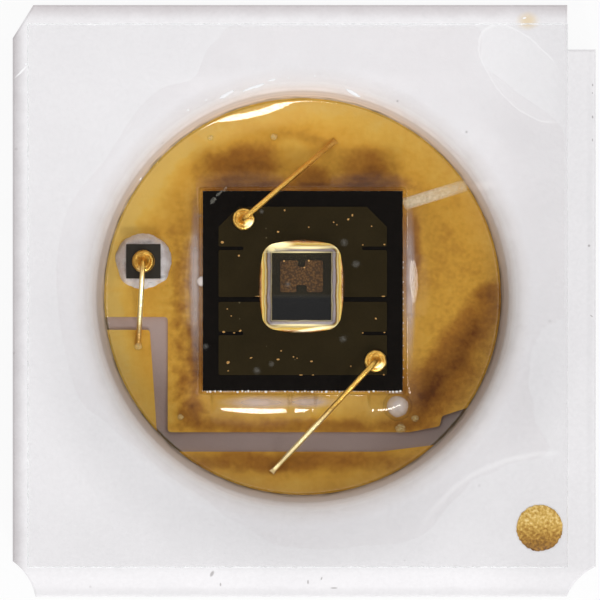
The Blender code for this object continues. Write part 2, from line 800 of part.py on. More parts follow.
def add_die(sapphire, p_metal, n_metal, solder):
    """Makes the die, its two contacts and the solder under each."""
    half_width = DIE_WIDTH / 2
    half_depth = DIE_DEPTH / 2
    outline = [point + DIE_CENTRE for point in rectangle(-half_width, half_width, -half_depth, half_depth)]
    add_prism("led_die", outline, DIE_BOTTOM, DIE_TOP, sapphire)
    contacts = (("p", p_contact_outline(), p_metal), ("n", n_contact_outline(), n_metal))
    low = TRACK_TOP + SEAT
    for pole, corners, metal in contacts:
        corners = [point + DIE_CENTRE for point in corners]
        contact = rounded(corners, CONTACT_CORNER)
        joint = rounded(grown(corners, -SOLDER_SETBACK), CONTACT_CORNER)
        add_prism(pole + "_contact", contact, CONTACT_BOTTOM, CONTACT_BOTTOM + CONTACT_THICKNESS, metal)
        add_prism(pole + "_solder", joint, low, low + SOLDER_THICKNESS, solder)


def add_die_fillet(finish):
    """Makes the resin that climbs the die's sides in a hollow curve, as one ring."""
    half_width = DIE_WIDTH / 2 + SEAT
    half_depth = DIE_DEPTH / 2 + SEAT
    low = TRACK_TOP + SEAT
    high = DIE_TOP - FILLET_DROP
    angles = corner_angles(half_width, half_depth, FILLET_CORNER_STEPS)
    inner = box_ring(DIE_CENTRE, half_width, half_depth, angles)
    lip = box_ring(DIE_CENTRE, half_width + FILLET_LIP, half_depth + FILLET_LIP, angles)
    outer = soft_ring(
        DIE_CENTRE,
        half_width + FILLET_WIDTH,
        half_depth + FILLET_WIDTH,
        FILLET_ROUNDNESS,
        angles,
    )
    rings = [lift(inner, low), lift(inner, high)]
    for step in range(FILLET_STEPS + 1):
        lean = direction(90 * step / FILLET_STEPS)
        ring = [near.lerp(far, 1 - lean.x) for near, far in zip(lip, outer)]
        rings.append(lift(ring, high - (high - low) * lean.y))
    add_loft("die_fillet", rings, finish, closed=True)


def submount_side(angle):
    """Gives how far the submount's side is from the cavity's centre, at an angle."""
    return reach_in_square(CAVITY_CENTRE, direction(angle), SUBMOUNT_CENTRE, SUBMOUNT_SIZE / 2)


def beside_submount(angle, share, radius=0.0):
    """Gives a round thing's place at an angle, a share of its way from the submount to the wall."""
    nearest = submount_side(angle) + radius
    furthest = CAVITY_RADIUS - radius
    return polar(CAVITY_CENTRE, nearest + (furthest - nearest) * share, angle)


def epoxy_radius():
    """Gives how far the epoxy spreads, which a narrow room beside the submount would hold back."""
    return min(EPOXY_RADIUS, (CAVITY_RADIUS - submount_side(DIODE_ANGLE)) / 2 - EPOXY_ROOM)


def diode_centre():
    """Gives the protection diode's place."""
    return beside_submount(DIODE_ANGLE, EPOXY_PLACE_SHARE, epoxy_radius())


def epoxy_skin(grow):
    """Gives the rings of the epoxy's outer skin, from the floor up to the diode's sides."""
    half = DIODE_SIZE / 2 + SEAT + EPOXY_LIP + grow
    angles = corner_angles(half, half, EPOXY_CORNER_STEPS)
    near = box_ring(diode_centre(), half, half, angles)
    reach = epoxy_radius() + grow
    far = soft_ring(diode_centre(), reach, reach, 2, angles)
    low = FLOOR_TOP + SEAT
    rings = []
    for step in range(EPOXY_STEPS + 1):
        lean = direction(90 - 90 * step / EPOXY_STEPS)
        ring = [inside.lerp(outside, 1 - lean.x) for inside, outside in zip(near, far)]
        rings.append(lift(ring, low + grow + EPOXY_CLIMB * (1 - lean.y)))
    return rings


def add_diode(silicon, epoxy, metal):
    """Makes the protection diode, its bond pad and the epoxy that it is bedded in."""
    half = DIODE_SIZE / 2
    centre = diode_centre()
    angles = corner_angles(half, half, EPOXY_CORNER_STEPS)
    rings = epoxy_skin(0)
    bed = box_ring(centre, half + SEAT, half + SEAT, angles)
    rings.append(lift(bed, FLOOR_TOP + SEAT + EPOXY_CLIMB))
    rings.append(lift(bed, DIODE_BOTTOM - SEAT))
    add_loft("diode_epoxy", rings, epoxy)
    chip = box_ring(centre, half, half, SQUARE_CORNERS)
    add_prism("diode_chip", chip, DIODE_BOTTOM, DIODE_TOP, silicon)
    pad = circle(centre, DIODE_PAD_RADIUS, VIA_STEPS)
    add_prism("diode_pad", pad, DIODE_TOP + SEAT, DIODE_PAD_TOP, metal)


def diode_cutter():
    """Makes the shape that the diode and its epoxy take up in the resin, open at the top."""
    half = DIODE_SIZE / 2 + SEAT
    angles = corner_angles(half, half, EPOXY_CORNER_STEPS)
    skin = epoxy_skin(SEAT)
    foot = [Vector((point.x, point.y, FLOOR_TOP - FLOOR_METAL / 2)) for point in skin[0]]
    side = box_ring(diode_centre(), half, half, angles)
    bm = bmesh.new()
    shoulder = FLOOR_TOP + 2 * SEAT + EPOXY_CLIMB
    loft(bm, [foot, *skin, lift(side, shoulder), lift(side, DIODE_TOP + DIODE_HEIGHT)])
    return add_cutter("diode_cutter", bm)


def wire_route(wire):
    """Gives a bond wire's centre line as (distance, height, slope in degrees) from ball to stitch."""
    corner = Vector((wire.length - STITCH_LENGTH, FLOOR_TOP + SEAT + WIRE_RADIUS))
    over_edge = Vector((wire.edge, wire.seat + WIRE_OVER_EDGE))
    fall = (corner - over_edge).normalized()
    landing = corner - fall * WIRE_HEEL
    neck = Vector((0, wire.seat + SEAT + BALL_HEIGHT + BALL_NECK))
    handles = (
        neck,
        neck + Vector((0, wire.loop)),
        landing - fall * wire.length * WIRE_LANDING_SHARE,
        landing,
    )
    route = []
    for step in range(WIRE_STEPS + 1):
        t = step / WIRE_STEPS
        u = 1 - t
        weights = (u**3, 3 * u * u * t, 3 * u * t * t, t**3)
        point = sum((handle * weight for handle, weight in zip(handles, weights)), Vector((0, 0)))
        ways = [after - before for before, after in zip(handles, handles[1:])]
        heading = ways[0] * u * u + ways[1] * 2 * u * t + ways[2] * t * t
        route.append((point.x, point.y, math.degrees(math.atan2(heading.y, heading.x))))
    heel_end = corner + Vector((WIRE_HEEL, 0))
    landing_slope = math.degrees(math.atan2(fall.y, fall.x))
    for step in range(1, HEEL_STEPS + 1):
        t = step / HEEL_STEPS
        point = landing.lerp(corner, t).lerp(corner.lerp(heel_end, t), t)
        route.append((point.x, point.y, landing_slope * (1 - t)))
    return route


def wire_sections(wire, grow):
    """Gives a bond wire's cross-sections as (distance, height, slope, half width, half height)."""
    base = wire.seat + SEAT
    shoulder = base + BALL_HEIGHT
    radius = WIRE_RADIUS + grow
    ball = BALL_RADIUS + grow
    sections = []
    for height_share, radius_share in BALL_PROFILE:
        width = ball * radius_share
        sections.append((0, base - grow + (BALL_HEIGHT + grow) * height_share, 90, width, width))
    cone = ball * CONE_RADIUS_SHARE
    sections.append((0, shoulder + BALL_NECK * CONE_HEIGHT_SHARE, 90, cone, cone))
    for distance, height, slope in wire_route(wire):
        sections.append((distance, height, slope, radius, radius))
    for step in range(1, STITCH_STEPS + 1):
        share = step / STITCH_STEPS
        half_width = WIRE_RADIUS * (1 + (STITCH_SPREAD - 1) * share)
        half_height = WIRE_RADIUS * (1 - (1 - STITCH_SQUEEZE) * share)
        distance = wire.length - (STITCH_LENGTH - WIRE_HEEL) * (1 - share)
        height = FLOOR_TOP + SEAT + half_height
        if step == STITCH_STEPS:
            distance += grow
        sections.append((distance, height, 0, half_width + grow, half_height + grow))
    return sections


def sweep_wire(bm, wire, grow=0.0):
    """Skins a ball bond, its wire and the flattened stitch as one solid."""
    ahead = Vector((wire.way.x, wire.way.y, 0))
    side = Vector((-ahead.y, ahead.x, 0))
    up = Vector((0, 0, 1))
    start = Vector((wire.ball.x, wire.ball.y, 0))
    rings = []
    for distance, height, slope, half_width, half_height in wire_sections(wire, grow):
        centre = start + ahead * distance + up * height
        lean = direction(slope)
        normal = up * lean.x - ahead * lean.y
        ring = []
        for angle in even_angles(WIRE_SIDES):
            way = direction(angle)
            ring.append(centre + side * way.x * half_width + normal * way.y * half_height)
        rings.append(ring)
    loft(bm, rings)


class Wire:
    """A bond wire from a ball on a square chip to a stitch on the floor."""

    def __init__(self, ball, stitch, seat, loop, chip_centre, chip_half):
        self.ball = ball
        self.length = (stitch - ball).length
        self.way = (stitch - ball).normalized()
        self.seat = seat
        self.loop = loop
        self.edge = reach_in_square(ball, self.way, chip_centre, chip_half)


def wires():
    """Gives the three bond wires by name."""
    half = SUBMOUNT_SIZE / 2
    upper_ball = Vector((UPPER_BALL_FROM_LEFT - TRACK_HALF, TRACK_HALF - UPPER_BALL_FROM_BACK))
    lower_ball = Vector((TRACK_HALF - LOWER_BALL_FROM_RIGHT, LOWER_BALL_FROM_FRONT - TRACK_HALF))
    upper_ball += SUBMOUNT_CENTRE
    lower_ball += SUBMOUNT_CENTRE
    diode_ball = diode_centre()
    upper_stitch = beside_submount(UPPER_STITCH_ANGLE, UPPER_STITCH_SHARE)
    lower_stitch = beside_submount(LOWER_STITCH_ANGLE, LOWER_STITCH_SHARE)
    diode_stitch = beside_submount(DIODE_STITCH_ANGLE, DIODE_STITCH_SHARE)
    return {
        "wire_upper": Wire(upper_ball, upper_stitch, TRACK_TOP, UPPER_LOOP, SUBMOUNT_CENTRE, half),
        "wire_lower": Wire(lower_ball, lower_stitch, TRACK_TOP, LOWER_LOOP, SUBMOUNT_CENTRE, half),
        "wire_diode": Wire(diode_ball, diode_stitch, DIODE_PAD_TOP, DIODE_LOOP, diode_ball, DIODE_SIZE / 2),
    }


def add_wires(finish):
    """Makes the three gold bond wires."""
    for name, wire in wires().items():
        bm = bmesh.new()
        sweep_wire(bm, wire)
        add_object(name, bm, finish)


def wire_cutter():
    """Makes the shapes that the wires take up in the resin."""
    bm = bmesh.new()
    for wire in wires().values():
        sweep_wire(bm, wire, SEAT)
    return add_cutter("wire_cutter", bm)


def add_resin(finish, floor_space):
    """Makes the clear resin, whose surface sags between the submount and the cavity's wall."""
    half = SUBMOUNT_SIZE / 2 + SEAT
    bottom = CERAMIC_FLOOR + SEAT
    climb_submount = SUBMOUNT_TOP - RESIN_BELOW_SUBMOUNT_TOP - RESIN_LEVEL
    wall_contact = RESIN_LEVEL + RESIN_CLIMB_WALL
    angles = even_angles(ROUND_STEPS)
    inner = box_ring(SUBMOUNT_CENTRE, half, half, angles)
    outer = circle(CAVITY_CENTRE, wall_radius(wall_contact) - SEAT, ROUND_STEPS)
    foot = circle(CAVITY_CENTRE, wall_radius(bottom) - SEAT, ROUND_STEPS)
    rings = [lift(foot, bottom), lift(inner, bottom)]
    for step in range(RESIN_RINGS + 1):
        share = (1 - math.cos(math.pi * step / RESIN_RINGS)) / 2
        ring = []
        for near, far in zip(inner, outer):
            point = near.lerp(far, share)
            rise = climb_submount * math.exp(-(point - near).length / RESIN_REACH_SUBMOUNT)
            rise += RESIN_CLIMB_WALL * math.exp(-(point - far).length / RESIN_REACH_WALL)
            ring.append(Vector((point.x, point.y, RESIN_LEVEL + rise)))
        rings.append(ring)
    resin = add_loft("cavity_resin", rings, finish, closed=True)
    cut(resin, floor_space)
    cut(resin, diode_cutter())
    cut(resin, wire_cutter())


def main():
    """Makes every piece of the part."""
    clear_scene()
    ceramic = material("white_ceramic", (0.84, 0.83, 0.84), 0.55)
    gold = material("gold_plating", (0.80, 0.55, 0.20), 0.35, metallic=1.0)
    gold_wire = material("gold_wire", (0.95, 0.68, 0.25), 0.18, metallic=1.0)
    tungsten = material("via_fill", (0.42, 0.42, 0.43), 0.45, metallic=1.0)
    glass = material("lid_glass", (0.95, 0.96, 0.96), 0.03, alpha=0.25)
    adhesive = material("lid_adhesive", (0.90, 0.89, 0.88), 0.20, alpha=0.35)
    silicon = material("black_silicon", (0.012, 0.011, 0.011), 0.22)
    track = material("dark_track", (0.045, 0.036, 0.018), 0.30, metallic=0.6)
    sapphire = material("die_sapphire", (0.05, 0.05, 0.055), 0.10, alpha=0.45)
    p_metal = material("p_contact_metal", (0.19, 0.11, 0.06), 0.45, metallic=0.8)
    n_metal = material("n_contact_metal", (0.10, 0.10, 0.11), 0.40, metallic=0.8)
    solder = material("solder", (0.50, 0.50, 0.48), 0.35, metallic=1.0)
    silver_epoxy = material("silver_epoxy", (0.62, 0.58, 0.50), 0.45, metallic=0.7)
    resin = material("clear_resin", (0.96, 0.94, 0.90), 0.05, alpha=0.20)
    floor_space = floor_cutter()
    via_space = via_cutter()
    add_body(ceramic, floor_space, via_space)
    add_floor(gold)
    add_solder_pads(gold)
    add_vias(tungsten)
    add_polarity_mark(gold)
    add_lid(glass)
    add_adhesive(adhesive)
    add_submount(silicon, silver_epoxy)
    add_tracks(track)
    add_die(sapphire, p_metal, n_metal, solder)
    add_die_fillet(resin)
    add_diode(silicon, silver_epoxy, gold)
    add_wires(gold_wire)
    add_resin(resin, floor_space)


main()
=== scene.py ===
"""The looks of a surface-mount LED in a white ceramic package, seen from straight above."""
import math
import random

import bmesh
import bpy
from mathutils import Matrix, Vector, noise


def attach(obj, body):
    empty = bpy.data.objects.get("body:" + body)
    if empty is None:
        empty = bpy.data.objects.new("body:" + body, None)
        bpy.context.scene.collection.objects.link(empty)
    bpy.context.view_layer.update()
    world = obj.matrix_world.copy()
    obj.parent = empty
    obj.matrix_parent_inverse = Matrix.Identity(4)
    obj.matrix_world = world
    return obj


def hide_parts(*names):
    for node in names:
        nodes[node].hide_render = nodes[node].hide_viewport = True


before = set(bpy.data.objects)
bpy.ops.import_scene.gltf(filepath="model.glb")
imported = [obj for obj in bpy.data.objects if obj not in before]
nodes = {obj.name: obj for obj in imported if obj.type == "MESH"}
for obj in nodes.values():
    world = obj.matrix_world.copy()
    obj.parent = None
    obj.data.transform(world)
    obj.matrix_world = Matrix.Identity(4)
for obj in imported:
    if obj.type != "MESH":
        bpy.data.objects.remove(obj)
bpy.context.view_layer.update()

# Sizes and the photograph's scale
MM = 0.001
PIXEL = 0.00595
ORIGIN_PX = 304.25
ORIGIN_PY = 300.75

# Heights, in millimetres, as the solids have them
FLOOR_TOP = 0.492
CERAMIC_TOP = 1.071
LID_BOTTOM = 1.098
LID_TOP = 1.398
SUBMOUNT_TOP = 0.764
TRACK_TOP = 0.770
DIE_TOP = 0.903
RESIN_LEVEL = 0.577
MARK_TOP = 1.085

# Plan sizes, in millimetres
CAVITY_X = -0.010
CAVITY_Y = 0.025
CAVITY_RADIUS = 1.185
SUBMOUNT_X = -0.009
SUBMOUNT_Y = 0.059
SUBMOUNT_HALF = 0.5975
DIE_X = -0.016
DIE_Y = 0.085
DIE_HALF_X = 0.1755
DIE_HALF_Y = 0.1995
DIODE_X = -0.962
DIODE_Y = 0.236
DIODE_HALF = 0.1025
EPOXY_RADIUS = 0.178
MARK_X = 1.400
MARK_Y = -1.352
MARK_RADIUS = 0.139
LID_LEFT = -1.644
LID_RIGHT = 1.565
LID_FRONT = -1.585
LID_REAR = 1.647


def plan_x(px):
    """The place across, in metres, of a column of the photograph."""
    return (px - ORIGIN_PX) * PIXEL * MM


def plan_y(py):
    """The place to the rear, in metres, of a row of the photograph."""
    return (ORIGIN_PY - py) * PIXEL * MM


def linear(*screen):
    """A colour as shaders want it, from its three values of 0 to 255 on screen."""
    shares = [value / 255.0 for value in screen]
    parts = [share / 12.92 if share <= 0.04045 else ((share + 0.055) / 1.055) ** 2.4 for share in shares]
    return (*parts, 1.0)


def screen_stops(rows):
    """A ramp's stops from rows of (place, red, green, blue)."""
    return [(where, linear(*screen)) for where, *screen in rows]


class Paint:
    """The nodes of a material or of the world, made by calls that return sockets."""

    def __init__(self, owner):
        self.owner = owner
        owner.use_nodes = True
        self.tree = owner.node_tree
        self.tree.nodes.clear()
        self.place = self.node("TexCoord", {})["Object"]

    def node(self, kind, inputs, **settings):
        """A node's outputs: each input is joined to a socket, or set to a plain value."""
        node = self.tree.nodes.new("ShaderNode" + kind)
        for key, value in settings.items():
            setattr(node, key, value)
        for key, value in inputs.items():
            if isinstance(value, bpy.types.NodeSocket):
                self.tree.links.new(value, node.inputs[key])
            else:
                node.inputs[key].default_value = value
        return node.outputs

    def maths(self, operation, *values):
        return self.node("Math", dict(enumerate(values)), operation=operation)[0]

    def times(self, first, second):
        return self.maths("MULTIPLY", first, second)

    def plus(self, tone, share, strength):
        """The tone, raised by a share of that strength."""
        return self.maths("MULTIPLY_ADD", share, strength, tone)

    def vector(self, operation, first, second=(0.0, 0.0, 0.0)):
        outputs = self.node("VectorMath", {0: first, 1: second}, operation=operation)
        return outputs["Value" if operation == "LENGTH" else "Vector"]

    def scaled(self, vector, scale):
        return self.node("VectorMath", {0: vector, "Scale": scale}, operation="SCALE")["Vector"]

    def grain(self, size, detail=2.0, output="Fac"):
        """Soft noise of 0 to 1 with lumps of that size in millimetres."""
        inputs = {"Vector": self.place, "Scale": 1.0 / (size * MM), "Detail": detail}
        return self.node("TexNoise", inputs)[output]

    def cells(self, size):
        """Distance to scattered points, that size apart, in shares of it, and a colour for each point."""
        outputs = self.node("TexVoronoi", {"Vector": self.place, "Scale": 1.0 / (size * MM)})
        return outputs["Distance"], outputs["Color"]

    def sprinkle(self, size, small, large, rare, common):
        """Dots of small to large share of their cell's size, in few of the cells."""
        away, pick = self.cells(size)
        few = self.between(self.axis("X", pick), rare, common)
        return self.times(self.between(away, small, large, 1.0, 0.0), few)

    def between(self, value, low, high, first=0.0, last=1.0, run="SMOOTHSTEP"):
        """Runs from first to last as value goes from low to high."""
        inputs = {"Value": value, "From Min": low, "From Max": high, "To Min": first, "To Max": last}
        return self.node("MapRange", inputs, interpolation_type=run)["Result"]

    def span(self, value, low, high, first=0.0, last=1.0, run="SMOOTHSTEP"):
        """The same for a place on the object, with low and high in millimetres."""
        return self.between(value, low * MM, high * MM, first, last, run)

    def axis(self, name, place=None):
        return self.node("SeparateXYZ", {0: self.place if place is None else place})[name]

    def upward(self):
        """How far the surface faces up: 1 on top, 0 where it is upright, -1 underneath."""
        return self.axis("Z", self.node("NewGeometry", {})["Normal"])

    def mix(self, share, first, second):
        return self.node("Mix", {0: share, 6: first, 7: second}, data_type="RGBA")[2]

    def cover(self, base, share, strength, colour):
        """A colour laid over the base by a share of that strength."""
        return self.mix(self.times(share, strength), base, colour)

    def ramp(self, value, stops):
        """A colour that runs through stops of (place, colour)."""
        outputs = self.node("ValToRGB", {0: value})
        band = outputs["Color"].node.color_ramp
        while len(band.elements) < len(stops):
            band.elements.new(0.5)
        for element, (where, colour) in zip(band.elements, stops):
            element.position = where
            element.color = colour
        return outputs["Color"]

    def warped(self, amount, size):
        """The surface's own place, pushed about by noise, so that soft edges run unevenly."""
        shift = self.vector("SUBTRACT", self.grain(size, output="Color"), (0.5, 0.5, 0.5))
        return self.vector("ADD", self.place, self.scaled(shift, amount * MM))

    def zone(self, place, spot, softness=0.6):
        """1 in a spot of the photograph and 0 outside it, with an edge that is soft by that share."""
        px, py, half_width, half_height, tilt = spot
        reach = self.vector("LENGTH", self.node("Mapping", {
            "Vector": place,
            "Location": (plan_x(px), plan_y(py), 0.0),
            "Rotation": (0.0, 0.0, math.radians(tilt)),
            "Scale": (half_width * PIXEL * MM, half_height * PIXEL * MM, 1.0),
        }, vector_type="TEXTURE")["Vector"])
        return self.between(reach, 1.0 - softness, 1.0 + softness, 1.0, 0.0)

    def zones(self, tone, spots, place):
        """A tone that spots, each with a strength after its tilt, raise or lower."""
        for *spot, strength in spots:
            tone = self.plus(tone, self.zone(place, spot), strength)
        return tone

    def any_zone(self, spots, softness):
        """The largest share that any of the spots has there."""
        share = 0.0
        for spot in spots:
            share = self.maths("MAXIMUM", share, self.zone(self.place, spot, softness))
        return share

    def way_from(self, x, y, place):
        """The way in plan, in metres, from a point in millimetres to a place."""
        flat = self.vector("MULTIPLY", place, (1.0, 1.0, 0.0))
        return self.vector("SUBTRACT", flat, (x * MM, y * MM, 0.0))

    def outside(self, x, y, half_x, half_y):
        """How far, in metres in plan, the surface is outside an upright block."""
        size = self.vector("ABSOLUTE", self.way_from(x, y, self.place))
        over = self.vector("SUBTRACT", size, (half_x * MM, half_y * MM, 0.0))
        return self.vector("LENGTH", self.vector("MAXIMUM", over))

    def bump(self, height, depth, strength=1.0):
        """A normal for relief of that depth in millimetres."""
        inputs = {"Strength": strength, "Distance": depth * MM, "Height": height}
        return self.node("Bump", inputs)["Normal"]

    def blend(self, share, first, second):
        return self.node("MixShader", {0: share, 1: first, 2: second})[0]

    def surface(self, **sockets):
        """A Principled shader, with its sockets set by their names, spaces as underlines."""
        inputs = {key.replace("_", " "): value for key, value in sockets.items()}
        return self.node("BsdfPrincipled", inputs)[0]

    def finish(self, shader, output="OutputMaterial"):
        self.node(output, {"Surface": shader})
        return self.owner


def paint_for(name):
    """A new material's nodes."""
    return Paint(bpy.data.materials.new(name))


# Spots of the photograph are (column, row, half width, half height, tilt): pixels, and degrees leftwards
WHITE = linear(255, 255, 255)

# The ceramic's own colour, with painted shade on the cavity's floor and down its wall, darkest at its
# foot, by distance from the cavity's middle, in millimetres within the ramp's ends, then red, green and
# blue
WALL_RAMP = (1.10, 1.50)
WALL_COLOURS_AND_SHADE = (
    (1.168, 182, 162, 156),
    (1.184, 104, 92, 62),
    (1.200, 204, 191, 183),
    (1.222, 208, 197, 190),
    (1.245, 208, 197, 190),
    (1.275, 219, 213, 210),
    (1.310, 230, 226, 225),
    (1.370, 238, 236, 237),
)
# Painted light and shade on the wall, lighter or darker by side: full nearer than the first distance and
# none past the second, then along which axis, from where to where, and from which strength to which
WALL_LIGHT_AND_SHADE = (
    (1.190, 1.340, "rear", -0.4, 1.2, 0.0, 0.34),
    (1.190, 1.340, "right", 0.3, 1.2, 0.0, -0.34),
    (1.190, 1.340, "right", -1.2, -0.5, -0.14, 0.0),
    (1.185, 1.215, "rear left", 0.0, 1.4, 0.0, 0.45),
    (1.225, 1.250, "rear", -0.5, 1.1, 0.0, 0.17),
)
# Painted shade: the front of the rim is darker between the first pair of distances and the second
RIM_INNER = (1.22, 1.28)
RIM_OUTER = (1.36, 1.80)
RIM_FRONT_SHADE = (-1.2, 1.0, -0.13, 0.0)
# The package's outer underside, below these heights, has none of the wall's colours and painted shade
UNDERSIDE = (0.20, 0.40)
# Spots of painted light and shade, lighter or darker; then the left and top ledges, darkened by painted
# shade of the lid, the tape's layers, and marks of handling
CERAMIC_LIGHT_AND_SHADE_SPOTS = (
    (560, 330, 60, 330, 0, -0.09), (300, 560, 330, 70, 0, -0.075), (582, 300, 14, 300, 0, -0.02),
    (300, 580, 300, 12, 0, 0.09), (300, 592, 300, 4, 0, -0.05), (590, 300, 3, 300, 0, -0.04),
    (80, 350, 80, 160, 0, -0.035), (300, 86, 110, 14, 0, 0.06), (505, 505, 60, 22, 45, -0.03),
    (505, 125, 40, 16, -45, -0.03), (130, 160, 16, 90, -45, 0.03), (481, 186, 12, 4, 10, 0.1),
)
LEFT_LEDGE = (12, 28)
TOP_LEDGE = (23, 5)
TOP_LEDGE_PAINTED_SHADE = linear(206, 200, 201)
LEFT_LEDGE_PAINTED_SHADE = linear(194, 189, 190)
TAPE_THICKNESS = 0.62
TAPE_SHADE = linear(196, 188, 184)
CRACK = (21.5, 71.4, 7.5, 0.9, 44)
# Where the adhesive's edge shows: a spot, and the whiteness of its edge and of its inside
ADHESIVE_FLOWS = (
    (525, 74, 60, 30, -49, 0.40, 0.13),
    (552, 579, 142, 125, 0, 0.26, 0.0),
)
FLOW_EDGE = 0.035
DARK_SPECKS = (
    (212, 573.8, 1.5, 3, -30), (220.5, 584.5, 0.8, 1.6, 0), (308, 582, 0.8, 2, 0),
    (321.5, 578.5, 0.7, 1.5, -20), (334, 588, 3.2, 0.7, 0), (589, 245.7, 1.2, 1.1, 0),
    (591.5, 316, 1.6, 0.5, -35), (592.6, 85, 0.6, 1.2, 0), (592.4, 93, 0.5, 0.8, 0),
    (592.6, 117, 0.7, 1.4, 10), (592.5, 140, 0.5, 1.4, 0),
)
FAINT_SPECKS = (
    (466.5, 132, 1.1, 1.1, 0), (397.5, 101, 1, 1, 0),
)
SPECK_COLOUR = linear(96, 84, 78)
GOLD_STAIN = (528, 20.7, 8, 6, 0)
STAIN_COLOUR = linear(226, 196, 132)


def ceramic_material():
    """White fired alumina: fine grain, a few specks, tape layers on its sides, and painted light and
    shade on its walls and ledges.
    """
    paint = paint_for("ceramic_fired")
    uneven = paint.warped(0.030, 0.11)
    level = paint.axis("Z")
    reach = paint.vector("LENGTH", paint.way_from(CAVITY_X, CAVITY_Y, uneven))
    reach = paint.maths("ADD", reach, paint.span(level, *UNDERSIDE, MM, 0.0))
    low, high = WALL_RAMP
    share = paint.span(reach, low, high, run="LINEAR")
    # Painted shade: the ramp darkens the ceramic towards the cavity's floor and down its wall
    stops = screen_stops(WALL_COLOURS_AND_SHADE)
    base = paint.ramp(share, [((where - low) / (high - low), colour) for where, colour in stops])
    axes = {"right": paint.axis("X", uneven), "rear": paint.axis("Y", uneven)}
    axes["rear left"] = paint.maths("SUBTRACT", axes["rear"], axes["right"])
    # Painted shade of the lid on the left and top ledges
    left = paint.between(axes["right"], plan_x(LEFT_LEDGE[0]), plan_x(LEFT_LEDGE[1]), 1.0, 0.0)
    top = paint.between(axes["rear"], plan_y(TOP_LEDGE[0]), plan_y(TOP_LEDGE[1]))
    base = paint.mix(left, paint.mix(top, base, TOP_LEDGE_PAINTED_SHADE), LEFT_LEDGE_PAINTED_SHADE)
    # Grain and mottling, with painted light and shade in spots, on the wall and at the rim's front
    fine = paint.grain(0.022, detail=3.0)
    tone = paint.plus(paint.plus(0.925, fine, 0.10), paint.grain(0.35), 0.05)
    tone = paint.zones(tone, CERAMIC_LIGHT_AND_SHADE_SPOTS, uneven)
    # Painted light and shade: the wall lighter or darker by side
    for near, far, name, start, end, first, last in WALL_LIGHT_AND_SHADE:
        strength = paint.span(axes[name], start, end, first, last)
        tone = paint.plus(tone, paint.span(reach, near, far, 1.0, 0.0), strength)
    # Painted shade on the rim's front
    rim = paint.times(paint.span(reach, *RIM_INNER), paint.span(reach, *RIM_OUTER, 1.0, 0.0))
    tone = paint.plus(tone, rim, paint.span(axes["rear"], *RIM_FRONT_SHADE))
    base = paint.scaled(base, tone)
    # Layers of tape, seen only where the surface is upright
    side = paint.between(paint.maths("ABSOLUTE", paint.upward()), 0.2, 0.7, 1.0, 0.0)
    layers = {"Vector": paint.warped(0.012, 0.4), "Scale": 1.0 / (TAPE_THICKNESS * MM)}
    wave = paint.node("TexWave", layers, bands_direction="Z")["Fac"]
    line = paint.times(paint.between(wave, 0.0, 0.10, 1.0, 0.0), side)
    base = paint.cover(base, line, 0.35, TAPE_SHADE)
    # Marks seen in the photograph
    base = paint.cover(base, paint.zone(paint.warped(0.012, 0.05), CRACK, 0.5), 0.8, WHITE)
    lidded = paint.times(
        paint.span(axes["right"], LID_RIGHT - 0.12, LID_RIGHT - 0.02, 1.0, 0.0),
        paint.span(axes["rear"], LID_FRONT + 0.10, LID_FRONT + 0.55),
    )
    lidded = paint.times(lidded, paint.span(level, CERAMIC_TOP - 0.02, CERAMIC_TOP - 0.01))
    for *spot, edge_white, inside_white in ADHESIVE_FLOWS:
        inside = paint.zone(uneven, spot, FLOW_EDGE)
        rim = paint.times(inside, paint.maths("SUBTRACT", 1.0, inside))
        white = paint.plus(paint.times(rim, 4.0 * edge_white), inside, inside_white)
        base = paint.cover(base, white, lidded, WHITE)
    for spots, strength in ((DARK_SPECKS, 0.5), (FAINT_SPECKS, 0.4)):
        for spot in spots:
            base = paint.cover(base, paint.zone(paint.place, spot, 0.45), strength, SPECK_COLOUR)
    base = paint.cover(base, paint.zone(uneven, GOLD_STAIN, 0.8), 0.6, STAIN_COLOUR)
    dots = paint.sprinkle(0.21, small=0.03, large=0.055, rare=0.70, common=0.74)
    base = paint.cover(base, dots, 0.16, SPECK_COLOUR)
    normal = paint.bump(paint.maths("SUBTRACT", fine, line), depth=0.004, strength=0.6)
    return paint.finish(paint.surface(Base_Color=base, Roughness=0.62, Normal=normal))


# The gold floor's colours by tone, and where painted shadows and pools of light make it darker or lighter
GOLD_STOPS = (
    (0.00, 84, 46, 4),
    (0.20, 134, 76, 12),
    (0.45, 196, 132, 40),
    (0.70, 244, 186, 68),
    (0.90, 255, 208, 92),
    (1.00, 255, 216, 112),
)
GOLD_LIGHT_AND_SHADOW_ZONES = (
    (238, 161, 46, 15, 8, -0.27), (255, 166, 20, 7, 0, -0.12), (313, 178, 18, 12, 0, -0.26),
    (368, 164, 26, 15, 0, -0.24), (440, 270, 30, 50, 0, -0.05), (175, 235, 30, 40, 0, -0.05),
    (375, 169, 12, 5, 0, -0.12), (289, 148, 15, 11, 0, 0.16), (411, 255, 8, 46, 0, -0.34),
    (419, 388, 18, 28, 20, -0.14), (190, 388, 14, 28, 0, -0.12), (165, 190, 50, 60, -40, 0.08),
    (120, 250, 20, 60, 0, 0.06), (455, 348, 74, 16, 53, -0.3), (470, 358, 62, 18, 55, -0.12),
    (440, 400, 40, 16, 45, -0.16), (487, 292, 12, 9, 0, -0.18), (190, 412, 13, 10, 0, -0.19),
    (196, 300, 7, 96, 0, -0.34), (181, 290, 8, 90, 0, -0.14), (300, 406, 105, 12, 0, 0.1),
    (300, 427, 130, 7, 0, -0.22), (285, 462, 118, 10, 0, -0.26), (300, 486, 90, 6, 0, 0.05),
    (243, 183, 42, 9, 0, -0.34), (369, 183, 38, 9, 0, -0.34), (308, 186, 90, 4, 0, -0.16),
)
GOLD_START = 0.70
# A strip of the floor is patchy, and the floor is grainier from the first column to the second
GOLD_PATCHY = (182, 340, 20, 110, 0)
GRAINY_COLUMNS = (380, 430)
# Painted light from the wall on the floor's upper left, from the first distance to the second
WALL_GLOW_REACH = (0.96, 1.15)
WALL_GLOW = 0.26


